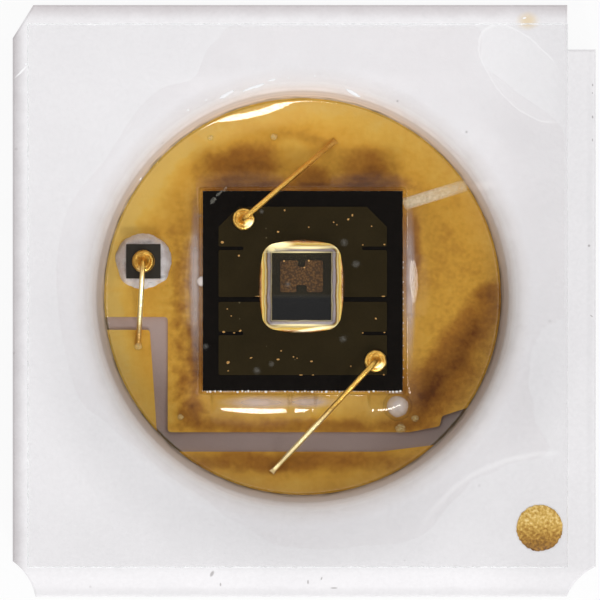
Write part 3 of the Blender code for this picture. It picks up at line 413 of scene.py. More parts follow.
def gold_material():
    """Matt gold plating over a printed layer: mottled, with painted shadows and pools of light."""
    paint = paint_for("gold_floor")
    uneven = paint.warped(0.075, 0.16)
    # Painted shadows and shade near the submount and wall, and pools of light, as darker and lighter
    # spots
    tone = paint.zones(GOLD_START, GOLD_LIGHT_AND_SHADOW_ZONES, uneven)
    reach = paint.vector("LENGTH", paint.way_from(CAVITY_X, CAVITY_Y, uneven))
    across = paint.axis("X")
    # Painted light near the wall, stronger to the upper left
    upper_left = paint.span(paint.maths("SUBTRACT", paint.axis("Y"), across), -0.9, 0.9)
    tone = paint.plus(tone, paint.times(paint.span(reach, *WALL_GLOW_REACH), upper_left), WALL_GLOW)
    fine = paint.grain(0.026, detail=3.0)
    grainy = paint.between(across, plan_x(GRAINY_COLUMNS[0]), plan_x(GRAINY_COLUMNS[1]), 0.16, 0.25)
    patchy = paint.plus(0.16, paint.zone(uneven, GOLD_PATCHY, 0.5), 0.42)
    coarse = paint.grain(0.13, detail=3.0)
    for grain, strength in ((coarse, 0.30), (paint.grain(0.055), patchy), (fine, grainy)):
        tone = paint.plus(tone, paint.maths("SUBTRACT", grain, 0.5), strength)
    colour = paint.ramp(tone, screen_stops(GOLD_STOPS))
    normal = paint.bump(fine, depth=0.004, strength=0.5)
    return paint.finish(paint.surface(Base_Color=colour, Metallic=0.30, Roughness=0.46, Normal=normal))


def plain_gold_material():
    """Clean gold plating of the electrodes underneath."""
    paint = paint_for("gold_electrode")
    fine = paint.grain(0.018, detail=3.0)
    share = paint.plus(paint.times(paint.grain(0.25), 0.5), fine, 0.6)
    colour = paint.mix(share, linear(196, 150, 72), linear(240, 206, 124))
    normal = paint.bump(fine, depth=0.003, strength=0.5)
    return paint.finish(paint.surface(Base_Color=colour, Metallic=0.85, Roughness=0.42, Normal=normal))


MARK_STOPS = (
    (0.00, 112, 74, 28),
    (0.40, 172, 126, 48),
    (0.75, 216, 176, 88),
    (1.00, 244, 216, 146),
)


def mark_material():
    """Grainy gold of the polarity mark, darker towards the front."""
    paint = paint_for("gold_mark_grainy")
    share = paint.span(paint.axis("Y"), MARK_Y - MARK_RADIUS, MARK_Y + 0.4 * MARK_RADIUS, 0.15, 0.75)
    fine = paint.grain(0.018, detail=3.0)
    share = paint.plus(share, paint.maths("SUBTRACT", fine, 0.5), 1.4)
    colour = paint.ramp(share, screen_stops(MARK_STOPS))
    normal = paint.bump(fine, depth=0.006, strength=0.8)
    return paint.finish(paint.surface(Base_Color=colour, Metallic=0.30, Roughness=0.5, Normal=normal))


# Painted highlights of the bond wires, which also glow by emission, and dull places at their stitches
WIRE_GLINTS = (
    (300, 446, 42, 9, 40.6), (140, 302, 7, 26, 0), (249, 223.5, 4.5, 3.2, 30), (380, 366, 4, 2.6, 30),
)
STITCH_SHADES = (
    (330, 147, 18, 12, 40), (268, 476, 9, 7, 0), (137, 342, 6, 8, 0),
)
WIRE_GLARE = 1.0


def wire_material():
    """Bright drawn gold, with painted highlights that glow by emission."""
    paint = paint_for("gold_wire_drawn")
    fine = paint.grain(0.012)
    colour = paint.mix(fine, linear(226, 156, 46), linear(255, 222, 124))
    # Painted highlights: the glints turn pale
    bright = paint.any_zone(WIRE_GLINTS, 0.55)
    colour = paint.mix(bright, colour, linear(255, 252, 204))
    dim = paint.times(paint.any_zone(STITCH_SHADES, 0.5), 0.75)
    # Painted glow: emission on the glints where the wire faces up
    glare = paint.times(bright, paint.between(paint.upward(), 0.55, 1.0))
    return paint.finish(paint.surface(
        Base_Color=paint.mix(dim, colour, linear(204, 148, 58)),
        Metallic=paint.maths("SUBTRACT", 1.0, dim),
        Roughness=0.28,
        Normal=paint.bump(paint.plus(fine, paint.grain(0.034), 1.6), depth=0.0050, strength=0.8),
        Emission_Color=linear(255, 236, 176),
        Emission_Strength=paint.times(glare, WIRE_GLARE),
    ))


DICED_EDGE = 0.008


def silicon_material():
    """Black silicon with a faint lapped grain, paler where its diced edges are."""
    paint = paint_for("silicon_black")
    inner = SUBMOUNT_HALF - DICED_EDGE
    edge = paint.span(paint.outside(SUBMOUNT_X, SUBMOUNT_Y, inner, inner), 0.0, DICED_EDGE)
    fine = paint.grain(0.03, detail=3.0)
    colour = paint.mix(fine, linear(10, 8, 6), linear(24, 20, 17))
    chips = paint.between(paint.grain(0.012), 0.50, 0.66)
    colour = paint.cover(colour, paint.times(edge, chips), 0.22, linear(150, 142, 132))
    normal = paint.bump(fine, depth=0.002, strength=0.4)
    return paint.finish(paint.surface(Base_Color=colour, Roughness=0.16, Normal=normal))


def track_material():
    """Dark olive metal film with bright specks of dust."""
    paint = paint_for("track_film")
    fine = paint.grain(0.012, detail=3.0)
    share = paint.plus(paint.times(paint.grain(0.16), 0.6), fine, 0.5)
    colour = paint.mix(share, linear(38, 31, 14), linear(60, 50, 28))
    dust = paint.sprinkle(0.055, small=0.05, large=0.12, rare=0.80, common=0.86)
    colour = paint.cover(colour, dust, 0.5, linear(150, 136, 104))
    normal = paint.bump(fine, depth=0.0008, strength=0.3)
    return paint.finish(paint.surface(Base_Color=colour, Metallic=0.30, Roughness=0.20, Normal=normal))


def contact_material(name, dark, pale):
    """A metal film under the die, with a dotted grain."""
    paint = paint_for(name)
    share = paint.between(paint.cells(0.014)[0], 0.2, 0.7, 1.0, 0.0)
    return paint.finish(paint.surface(Base_Color=paint.mix(share, dark, pale), Roughness=0.45))


def grainy_material(name, size, detail, dark, pale, depth, strength=1.0, **sockets):
    """A surface with grains of that size between two colours, and their relief if it has a depth."""
    paint = paint_for(name)
    fine = paint.grain(size, detail)
    if depth:
        sockets["Normal"] = paint.bump(fine, depth, strength)
    return paint.finish(paint.surface(Base_Color=paint.mix(fine, dark, pale), **sockets))


# Painted highlights: white spots on the epoxy's lumps
EPOXY_GLINTS = (
    (151, 288, 8, 6, 0), (128, 288, 7, 5, 30), (165.5, 280, 5, 6, 0),
)
EPOXY_STOPS = (
    (0.25, 216, 202, 192),
    (0.55, 234, 224, 222),
    (0.85, 255, 252, 250),
)


def epoxy_material():
    """Silver-filled epoxy: lavender-grey with flakes, and painted highlights on its lumps."""
    paint = paint_for("epoxy_silver")
    fine = paint.grain(0.012, detail=3.0)
    share = paint.plus(paint.times(fine, 0.5), paint.grain(0.05), 0.7)
    colour = paint.ramp(share, screen_stops(EPOXY_STOPS))
    # Painted highlights
    for spot in EPOXY_GLINTS:
        colour = paint.mix(paint.zone(paint.place, spot), colour, WHITE)
    normal = paint.bump(fine, depth=0.003, strength=0.6)
    shader = paint.surface(Base_Color=colour, Roughness=0.6, Specular_IOR_Level=0.15, Normal=normal)
    return paint.finish(shader)


PLAIN_SHINE = (0.8, 0.8, 0.8, 1.0)


def see_through(paint, tint, ior, times, roughness, body=None, share=0.0, shine=PLAIN_SHINE):
    """A clear material: light goes straight through it, tinted, or meets a body for a share of it.

    The mirrored part is that of the index of refraction, so many times, on faces seen from outside.
    """
    shader = paint.node("BsdfTransparent", {"Color": tint})[0]
    if body is not None:
        shader = paint.blend(share, shader, body)
    fresnel = paint.node("Fresnel", {"IOR": ior})[0]
    inner = paint.node("NewGeometry", {})["Backfacing"]
    mirrored = paint.times(fresnel, paint.plus(times, inner, -times))
    gloss = paint.node("BsdfGlossy", {"Color": shine, "Roughness": roughness})[0]
    return paint.finish(paint.blend(mirrored, shader, gloss))


def lid_material():
    """Clear flat glass."""
    paint = paint_for("glass_clear")
    tint = paint.mix(paint.grain(0.5, detail=3.0), (0.985, 0.985, 0.985, 1.0), WHITE)
    return see_through(paint, tint, ior=1.5, times=1.0, roughness=0.02)


def lid_edge_material():
    """The lid's diced edge: ground glass, whitish and rough."""
    paint = paint_for("glass_ground")
    chips = paint.between(paint.grain(0.030), 0.35, 0.65)
    colour = paint.mix(chips, linear(234, 236, 236), WHITE)
    normal = paint.bump(paint.grain(0.010, detail=3.0), depth=0.004, strength=0.8)
    body = paint.surface(Base_Color=colour, Roughness=0.45, Normal=normal)
    tint = (0.98, 0.985, 0.985, 1.0)
    return see_through(paint, tint, ior=1.5, times=0.6, roughness=0.25, body=body,
                       share=0.60)


def adhesive_material():
    """Cured adhesive that darkens the ceramic that it wets, unevenly."""
    paint = paint_for("adhesive_clear")
    tint = paint.mix(paint.grain(0.30, detail=3.0), linear(253, 252, 252), WHITE)
    return see_through(paint, tint, ior=1.45, times=0.12, roughness=0.15)


RESIN_SHINE = (1.0, 0.92, 0.78, 1.0)
# Pale patches of painted reflection on the resin's slopes
RESIN_PAINTED_REFLECTIONS = (
    (262, 403, 27, 4.6, 0), (308, 402.5, 18, 4.2, 0), (195, 285, 4, 50, 0), (410, 285, 4, 50, 0),
)


def resin_material():
    """Clear silicone: glossy, with painted shade where its surface is steep and pale patches of painted
    reflection.
    """
    paint = paint_for("resin_clear")
    # Painted shade: steep resin is tinted darker
    steep = paint.between(paint.maths("ABSOLUTE", paint.upward()), 0.55, 0.97, 1.0, 0.0)
    tint = paint.mix(steep, (0.995, 0.99, 0.98, 1.0), (0.80, 0.76, 0.70, 1.0))
    patch_grain = paint.grain(0.12)
    painted_reflection = paint.times(paint.any_zone(RESIN_PAINTED_REFLECTIONS, 0.9), paint.between(patch_grain, 0.2, 0.8, 0.34, 0.56))
    colour = paint.mix(patch_grain, linear(214, 198, 192), linear(232, 220, 220))
    body = paint.surface(Base_Color=colour, Roughness=0.6, Specular_IOR_Level=0.1)
    return see_through(paint, tint, ior=1.41, times=1.9, roughness=0.05, body=body,
                       share=painted_reflection, shine=RESIN_SHINE)


# Painted highlights of the resin round the die, which glow by emission, and its painted bands of light
# from the gold, outwards from the die
FILLET_GLINTS = (
    (279, 245, 11, 4.4, 0), (271.5, 249, 4, 3, 0), (306, 247.6, 24, 1.2, 0), (300, 252.2, 27, 0.8, 0),
    (315, 329, 16, 1.3, 8), (300, 325, 24, 0.8, 0),
)
FILLET_GLARE = 0.80
FILLET_BANDS = 0.085
FILLET_PAINTED_LIGHT_STOPS = (
    (0.00, 140, 116, 66),
    (0.06, 236, 222, 176),
    (0.12, 158, 144, 138),
    (0.20, 212, 202, 212),
    (0.28, 196, 184, 190),
    (0.34, 112, 86, 54),
    (0.41, 222, 176, 84),
    (0.48, 255, 246, 186),
    (0.56, 226, 170, 56),
    (0.65, 255, 226, 104),
    (0.76, 226, 150, 36),
    (0.88, 126, 78, 22),
    (1.00, 70, 46, 16),
)


def fillet_material():
    """Clear resin round the die: painted bands of light from the gold around it, and painted highlights
    that glow.
    """
    paint = paint_for("resin_fillet")
    reach = paint.outside(DIE_X, DIE_Y, DIE_HALF_X, DIE_HALF_Y)
    along = paint.span(reach, 0.0, FILLET_BANDS, run="LINEAR")
    along = paint.maths("SUBTRACT", paint.plus(along, paint.grain(0.07), 0.18), 0.09)
    colour = paint.ramp(along, screen_stops(FILLET_PAINTED_LIGHT_STOPS))
    # Painted highlights, which glow by emission
    glare = paint.any_zone(FILLET_GLINTS, 0.7)
    body = paint.surface(
        Base_Color=paint.mix(glare, colour, linear(255, 248, 208)),
        Roughness=0.35,
        Emission_Color=linear(255, 238, 168),
        Emission_Strength=paint.times(glare, FILLET_GLARE),
    )
    share = paint.between(along, 0.62, 1.0, 0.95, 0.0)
    tint = (1.0, 0.95, 0.85, 1.0)
    return see_through(paint, tint, ior=1.41, times=2.0, roughness=0.10, body=body,
                       share=share)


# The rows between which the die turns from grey to dark
DIE_ROWS = (299.5, 293.0)


def die_material():
    """Polished sapphire: greenish-grey, with what is under it seen through it."""
    paint = paint_for("sapphire_die")
    fine = paint.grain(0.02)
    rear = paint.between(paint.axis("Y"), plan_y(DIE_ROWS[0]), plan_y(DIE_ROWS[1]))
    grey = paint.mix(fine, linear(62, 60, 54), linear(78, 76, 68))
    dark = paint.mix(fine, linear(38, 38, 38), linear(46, 46, 46))
    colour = paint.mix(rear, dark, grey)
    body = paint.surface(Base_Color=colour, Roughness=0.2, Specular_IOR_Level=0.2)
    tint = (0.93, 0.91, 0.87, 1.0)
    share = paint.plus(0.82, rear, -0.60)
    return see_through(paint, tint, ior=1.7, times=0.4, roughness=0.05, body=body,
                       share=share)


def soft_edge(paint, share):
    """The share on top of a low droplet, falling off towards its rim."""
    return paint.times(share, paint.between(paint.maths("ABSOLUTE", paint.upward()), 0.78, 1.0))


def bubble_material():
    """A tiny bubble or grain, painted pale: a painted highlight for the light that it catches."""
    paint = paint_for("bubble_bright")
    colour = paint.mix(paint.grain(0.035), linear(240, 228, 222), linear(255, 252, 250))
    body = paint.surface(Base_Color=colour, Roughness=0.5, Specular_IOR_Level=0.1)
    share = soft_edge(paint, paint.between(paint.grain(0.050, detail=1.0), 0.2, 0.8, 0.58, 0.82))
    tint = (0.97, 0.96, 0.94, 1.0)
    return see_through(paint, tint, ior=1.4, times=0.3, roughness=0.25, body=body,
                       share=share)


def haze_material(name, dark, pale, least, most):
    """A faint droplet or flake, with the least and most of its share that hides what is under it."""
    paint = paint_for(name)
    fine = paint.grain(0.010, detail=3.0)
    body = paint.surface(Base_Color=paint.mix(fine, dark, pale), Roughness=0.6, Specular_IOR_Level=0.1)
    share = soft_edge(paint, paint.between(fine, 0.2, 0.8, least, most))
    tint = (0.99, 0.99, 0.99, 1.0)
    return see_through(paint, tint, ior=1.4, times=0.1, roughness=0.2, body=body,
                       share=share)


RIDGE_SPOT = (434, 194.5, 46, 6.2, 17)
RIDGE_FADE = (412, 466)


def milky_material():
    """Milky beige resin, half see-through, more opaque near the submount than near the wall."""
    paint = paint_for("resin_milky")
    fine = paint.grain(0.020, detail=3.0)
    fade = paint.between(paint.axis("X"), plan_x(RIDGE_FADE[0]), plan_x(RIDGE_FADE[1]), 1.0, 0.55)
    fade = paint.times(fade, paint.zone(paint.place, RIDGE_SPOT))
    colour = paint.mix(fine, linear(244, 226, 186), linear(255, 246, 222))
    body = paint.surface(Base_Color=colour, Roughness=0.5, Specular_IOR_Level=0.1)
    share = paint.times(paint.between(fine, 0.2, 0.8, 0.42, 0.66), fade)
    tint = (0.99, 0.98, 0.97, 1.0)
    return see_through(paint, tint, ior=1.41, times=0.1, roughness=0.2, body=body,
                       share=share)


WIRE = wire_material()
EPOXY = epoxy_material()
LID = lid_material()
LID_EDGE = lid_edge_material()
RESIN = resin_material()
FILLET = fillet_material()
BUBBLE = bubble_material()
MILKY = milky_material()
MARK = mark_material()
# Fresh broken edges, white lumps as painted highlights, and gold-brown grains: dust, and some painted
# glints
CHIP = grainy_material(
    "chips_bright", 0.008, 2.0, linear(228, 222, 216), linear(255, 254, 252), 0.002, Roughness=0.4,
)
GLINT = grainy_material(
    "glint_white", 0.008, 2.0, linear(246, 246, 248), WHITE, 0.0,
    Roughness=0.5, Specular_IOR_Level=0.1,
)
SPECK = grainy_material(
    "speck_gold", 0.006, 2.0, linear(150, 84, 22), linear(255, 208, 124), 0.001,
    Metallic=0.3, Roughness=0.3,
)
HAZE = haze_material("droplet_faint", linear(126, 124, 118), linear(200, 198, 190), 0.05, 0.13)
FLAKE = haze_material("flake_pale", linear(130, 128, 118), linear(206, 204, 190), 0.10, 0.34)
DROPLET = haze_material("droplet_golden", linear(214, 186, 110), linear(250, 234, 180), 0.22, 0.50)

# The materials of the solid model's nodes that stay
COATS = (
    (ceramic_material(), ("ceramic_body",)),
    (gold_material(), ("floor_pad_main", "floor_pad_second")),
    (plain_gold_material(), ("solder_pad_main", "solder_pad_second", "solder_pad_thermal")),
    (grainy_material(
        "via_tungsten", 0.010, 3.0, linear(120, 118, 120), linear(176, 174, 178), 0.004,
        Metallic=0.5, Roughness=0.55,
    ), ("via_main_left", "via_main_right", "via_second_left", "via_second_right")),
    (track_material(), ("submount_track_upper", "submount_track_lower")),
    (grainy_material(
        "solder_reflowed", 0.012, 3.0, linear(150, 142, 120), linear(196, 188, 164), 0.002,
        Metallic=0.8, Roughness=0.4,
    ), ("p_solder", "n_solder")),
    (silicon_material(), ("submount",)),
    (EPOXY, ("submount_bond",)),
    (grainy_material(
        "silicon_diode", 0.014, 3.0, linear(30, 27, 20), linear(58, 52, 42), 0.002, 0.4, Roughness=0.35,
    ), ("diode_chip",)),
    (WIRE, ("diode_pad",)),
    (adhesive_material(), ("lid_adhesive",)),
    (die_material(), ("led_die",)),
    (contact_material("contact_brown", linear(88, 54, 16), linear(146, 100, 44)), ("p_contact",)),
    (contact_material("contact_grey", linear(20, 18, 14), linear(34, 30, 23)), ("n_contact",)),
)
for material, names in COATS:
    for name in names:
        for slot in nodes[name].material_slots:
            slot.material = material


def let_through(piece):
    """Keeps a clear piece from shading what lies under it."""
    piece.visible_shadow = False
    piece.visible_diffuse = False


let_through(nodes["lid_adhesive"])
let_through(nodes["led_die"])


def make_piece(name, bm, materials, smooth=True, sharp=None):
    """Makes a piece that rides on the object of a mesh in millimetres, sharp past an angle in degrees."""
    bmesh.ops.recalc_face_normals(bm, faces=bm.faces)
    bmesh.ops.scale(bm, vec=(MM, MM, MM), verts=bm.verts)
    mesh = bpy.data.meshes.new(name)
    bm.to_mesh(mesh)
    bm.free()
    for face in mesh.polygons:
        face.use_smooth = smooth
    if sharp is not None:
        mesh.set_sharp_from_angle(angle=math.radians(sharp))
    for material in materials:
        mesh.materials.append(material)
    piece = bpy.data.objects.new(name, mesh)
    bpy.context.scene.collection.objects.link(piece)
    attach(piece, "root")
    return piece


def skin(bm, rings, around=False):
    """Faces from each ring of points to the next, and if they go around from the last to the first."""
    faces = []
    for inner, outer in zip(rings, rings[1:] + rings[:1] if around else rings[1:]):
        for index, point in enumerate(inner):
            after = (index + 1) % len(inner)
            faces.append(bm.faces.new((point, inner[after], outer[after], outer[index])))
    return faces


def at_level(bm, ring, height):
    """A copy of a ring of points, flat at that height."""
    return [bm.verts.new((point.co.x, point.co.y, height)) for point in ring]


def add_lump(bm, top, rings):
    """The faces of a lump, from its top point down its rings to a flat base."""
    first = rings[0]
    for index, point in enumerate(first):
        bm.faces.new((top, point, first[(index + 1) % len(first)]))
    skin(bm, rings)
    bm.faces.new(rings[-1])


def noise_at(x, y, seed):
    """Smooth noise of about -1 to 1."""
    return noise.noise(Vector((x, y, seed)))


def angles_round(count, start=0.0):
    """That many angles round a circle."""
    return [2.0 * math.pi * (turn + start) / count for turn in range(count)]


# The lid: its outline's step, how far and how finely its edge is chipped, and how calm it is on the right
LID_STEP = 0.016
CHIP_REACH = 0.010
CHIP_LEAST = 0.002
CHIP_SIZE = 0.045
CHIP_SIZE_FINE = 0.014
CALM_SHARE = 0.4
CALM_BAND = 0.02
LID_MARGIN = 0.0005
# Height, share of the chips' depth there, and the chips' seed
LID_LEVELS = (
    (LID_BOTTOM, 1.0, 3.0),
    (LID_BOTTOM + 0.012, 0.0, 3.0),
    (LID_TOP - 0.014, 0.0, 7.0),
    (LID_TOP, 1.0, 7.0),
)


def lid_outline():
    """Points round the lid, evenly spaced, with the way outwards at each."""
    corners = ((LID_LEFT, LID_FRONT), (LID_RIGHT, LID_FRONT), (LID_RIGHT, LID_REAR), (LID_LEFT, LID_REAR))
    points = []
    for index, start in enumerate(corners):
        end = corners[(index + 1) % 4]
        way = Vector((end[0] - start[0], end[1] - start[1]))
        before = Vector(corners[index - 1]) - Vector(start)
        out = Vector((way.y, -way.x)).normalized()
        count = round(way.length / LID_STEP)
        for step in range(count):
            at_corner = -(way.normalized() + before.normalized())
            points.append((Vector(start) + way * (step / count), out if step else at_corner))
    return points


def chip_depth(place, seed):
    """How far the diced edge is broken back there, in millimetres."""
    rough = noise_at(place.x / CHIP_SIZE, place.y / CHIP_SIZE, seed)
    fine = noise_at(place.x / CHIP_SIZE_FINE, place.y / CHIP_SIZE_FINE, seed + 5.0)
    calm = CALM_SHARE if place.x > LID_RIGHT - CALM_BAND else 1.0
    return CHIP_REACH * calm * (0.55 + 0.5 * rough + 0.35 * fine)


def build_lid():
    """The flat lid, with edges that the dicing saw left ground and slightly chipped."""
    bm = bmesh.new()
    outline = lid_outline()
    rings = []
    for height, share, seed in LID_LEVELS:
        ring = []
        for place, out in outline:
            spot = place - out * (LID_MARGIN + share * max(CHIP_LEAST, chip_depth(place, seed)))
            ring.append(bm.verts.new((spot.x, spot.y, height)))
        rings.append(ring)
    for face in skin(bm, rings):
        face.material_index = 1
    bm.faces.new(rings[0])
    bm.faces.new(rings[-1])
    piece = make_piece("lid_diced", bm, (LID, LID_EDGE), smooth=False)
    let_through(piece)
    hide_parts("glass_lid")


# The resin: its grid, then in millimetres how high it climbs and from how far out
RESIN_ANGLES = 540
RESIN_STEPS = 72
RESIN_LOW = FLOOR_TOP + 0.002
RESIN_ROOM = 0.002
RESIN_WAVE = 0.006
RESIN_WAVES_A_MM = 2.4
WALL_SLOPE = 0.058
WALL_SLOPE_REACH = 0.200
WALL_STEEP = 0.014
WALL_STEEP_REACH = 0.018
# The wall's slope is highest at one angle, with a spread, in degrees, and has its least share elsewhere
WALL_SLOPE_LEAST = 0.25
WALL_SLOPE_ANGLE = 104.5
WALL_SLOPE_SPREAD = 16.6
SUBMOUNT_HEIGHT = 0.172
SUBMOUNT_STEEP_REACH = 0.030
DIODE_CLIMB = 0.009
DIODE_CLIMB_REACH = 0.060
DIODE_OVERLAP = 0.004
# The gentle slope at each side of the submount: its rise and reach, and the places where it is full, each
# with its first and last pixel along the side, its arc's middle and radius, and its share of the reach
SIDE_SLOPES = {
    "front": (0.0915, 0.247, (
        (214, 286, 260, 360, 1.0),
        (294, 313, 299, 106, 0.88),
        (372, 412, 364, 130, 0.78),
    )),
    "right": (0.0516, 0.1955, ((259, 312, 286, 150, 1.0),)),
    "left": (0.050, 0.165, ((235, 325, 285, 300, 1.0),)),
    "rear": (0.030, 0.150, ((200, 280, 240, 300, 1.0), (335, 400, 368, 300, 1.0))),
}
SIDE_SLOPE_LEAST = 0.34
SIDE_SLOPE_EDGE = 8.0
SIDE_SHARPNESS = 16


def square_reach(angle, half, offset_x, offset_y):
    """How far out from the cavity's centre the submount's side is in that direction."""
    best = math.inf
    for way, offset in ((math.cos(angle), offset_x), (math.sin(angle), offset_y)):
        if abs(way) > 0.0001:
            best = min(best, (math.copysign(half, way) + offset) / way)
    return best


def ramp_up(room, reach, power=2.0):
    """1 against a wall, falling to 0 at that reach from it."""
    return max(0.0, 1.0 - room / reach) ** power


def smooth(share):
    """0 up to 0 and 1 from 1 on, with a soft run between them."""
    share = min(1.0, max(0.0, share))
    return share * share * (3.0 - 2.0 * share)


def side_climb(x, y, room):
    """How high the resin's gentle slope is there, and how high it gets against the submount."""
    px = x / PIXEL + ORIGIN_PX
    py = ORIGIN_PY - y / PIXEL
    sides = {
        "front": (SUBMOUNT_Y - y, px),
        "rear": (y - SUBMOUNT_Y, px),
        "right": (x - SUBMOUNT_X, py),
        "left": (SUBMOUNT_X - x, py),
    }
    largest = max(towards for towards, along in sides.values())
    total = 0.0
    here = 0.0
    against = 0.0
    for side, (rise, reach, places) in SIDE_SLOPES.items():
        towards, along = sides[side]
        weight = (max(0.0, towards) / largest) ** SIDE_SHARPNESS
        level = SIDE_SLOPE_LEAST * ramp_up(room, reach)
        foot = SIDE_SLOPE_LEAST
        for first, last, centre, bend, narrow in places:
            window = smooth((along - first) / SIDE_SLOPE_EDGE + 1.0)
            window *= smooth((last - along) / SIDE_SLOPE_EDGE + 1.0)
            arc = (along - centre) ** 2 / (2.0 * bend) * PIXEL
            level = max(level, window * ramp_up(room + arc, reach * narrow))
            foot = max(foot, window * ramp_up(arc, reach * narrow))
        total += weight
        here += weight * rise * level
        against += weight * rise * foot
    return here / total, against / total


def resin_height(x, y, room_in, room_out):
    """The resin's level there, for distances to the submount and to the wall."""
    climb, against = side_climb(x, y, room_in)
    height = RESIN_LEVEL + climb
    height += (SUBMOUNT_HEIGHT - against) * ramp_up(room_in, SUBMOUNT_STEEP_REACH, 3.0)
    angle = math.degrees(math.atan2(y - CAVITY_Y, x - CAVITY_X))
    turned = (angle - WALL_SLOPE_ANGLE + 180.0) % 360.0 - 180.0
    lift = WALL_SLOPE_LEAST + (1.0 - WALL_SLOPE_LEAST) * math.exp(-(turned / WALL_SLOPE_SPREAD) ** 2)
    height += WALL_SLOPE * lift * ramp_up(room_out, WALL_SLOPE_REACH)
    height += WALL_STEEP * ramp_up(room_out, WALL_STEEP_REACH, 3.0)
    over_x = max(0.0, abs(x - DIODE_X) - DIODE_HALF)
    over_y = max(0.0, abs(y - DIODE_Y) - DIODE_HALF)
    height += DIODE_CLIMB * ramp_up(math.hypot(over_x, over_y), DIODE_CLIMB_REACH)
    return height + RESIN_WAVE * noise_at(x * RESIN_WAVES_A_MM, y * RESIN_WAVES_A_MM, 1.7)


def resin_grid(bm):
    """Rows of (top point, low point, x, y) from the submount out to the wall, one for each direction."""
    grid = []
    half = SUBMOUNT_HALF + RESIN_ROOM
    outer = CAVITY_RADIUS - RESIN_ROOM
    for angle in angles_round(RESIN_ANGLES):
        inner = square_reach(angle, half, SUBMOUNT_X - CAVITY_X, SUBMOUNT_Y - CAVITY_Y)
        row = []
        for step in range(RESIN_STEPS + 1):
            reach = inner + (outer - inner) * (0.5 - 0.5 * math.cos(math.pi * step / RESIN_STEPS))
            x = CAVITY_X + reach * math.cos(angle)
            y = CAVITY_Y + reach * math.sin(angle)
            over_x = max(0.0, abs(x - SUBMOUNT_X) - SUBMOUNT_HALF)
            over_y = max(0.0, abs(y - SUBMOUNT_Y) - SUBMOUNT_HALF)
            height = resin_height(x, y, math.hypot(over_x, over_y), outer - reach)
            row.append((bm.verts.new((x, y, height)), bm.verts.new((x, y, RESIN_LOW)), x, y))
        grid.append(row)
    return grid


def build_resin():
    """Clear resin over the floor: it sags between submount and wall and climbs both."""
    bm = bmesh.new()
    grid = resin_grid(bm)

    def kept(turn, step):
        """Whether that cell is in the grid and reaches out past the diode."""
        if not 0 <= step < RESIN_STEPS:
            return False
        corners = grid[turn][step:step + 2] + grid[(turn + 1) % RESIN_ANGLES][step:step + 2]
        reaches = [max(abs(x - DIODE_X), abs(y - DIODE_Y)) for top, low, x, y in corners]
        return max(reaches) > DIODE_HALF - DIODE_OVERLAP

    for turn in range(RESIN_ANGLES):
        after = (turn + 1) % RESIN_ANGLES
        for step in range(RESIN_STEPS):
            if not kept(turn, step):
                continue
            near, far = grid[turn][step:step + 2]
            near_after, far_after = grid[after][step:step + 2]
            bm.faces.new((near[0], far[0], far_after[0], near_after[0]))
            bm.faces.new((near[1], near_after[1], far_after[1], far[1]))
            sides = (
                (turn, step - 1, near, near_after),
                (turn, step + 1, far_after, far),
                ((turn - 1) % RESIN_ANGLES, step, far, near),
                (after, step, near_after, far_after),
            )
            for side_turn, side_step, first, second in sides:
                if not kept(side_turn, side_step):
                    bm.faces.new((first[0], second[0], second[1], first[1]))
    loose = [point for point in bm.verts if not point.link_faces]
    bmesh.ops.delete(bm, geom=loose, context="VERTS")
    piece = make_piece("resin_pool", bm, (RESIN,), sharp=60.0)
    let_through(piece)
    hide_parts("cavity_resin")


# The resin round the die: its steps, its size in millimetres, and how far its corners are pulled in
FILLET_STEPS = 16
FILLET_CORNER = 22
FILLET_SIDE = 26
FILLET_WIDTH = 0.081
FILLET_ROOM = 0.001
FILLET_LOW = TRACK_TOP + 0.001
FILLET_THICKNESS = DIE_TOP - 0.016 - FILLET_LOW
FILLET_PULL = 0.135
FILLET_WAVE = 0.006
FILLET_WAVES_A_MM = 14.0


def block_outline(x, y, half_x, half_y, radius):
    """Points round a block with rounded corners, spread by corners and sides."""
    ways = ((1, 1), (-1, 1), (-1, -1), (1, -1))

    def on_corner(index, angle):
        way_x, way_y = ways[index % 4]
        middle_x = x + way_x * (half_x - radius)
        middle_y = y + way_y * (half_y - radius)
        return Vector((middle_x + radius * math.cos(angle), middle_y + radius * math.sin(angle)))

    points = []
    for index in range(4):
        start = index * math.pi / 2.0
        for step in range(FILLET_CORNER + 1):
            points.append(on_corner(index, start + math.pi / 2.0 * step / FILLET_CORNER))
        begin = points[-1].copy()
        end = on_corner(index + 1, start + math.pi / 2.0)
        for step in range(1, FILLET_SIDE):
            points.append(begin.lerp(end, step / FILLET_SIDE))
    return points


def corner_share(place):
    """1 at a corner of the collar and 0 in the middle of a side."""
    across = abs(place.x - DIE_X) / (DIE_HALF_X + FILLET_WIDTH)
    back = abs(place.y - DIE_Y) / (DIE_HALF_Y + FILLET_WIDTH)
    return min(1.0, across * back) ** 1.2


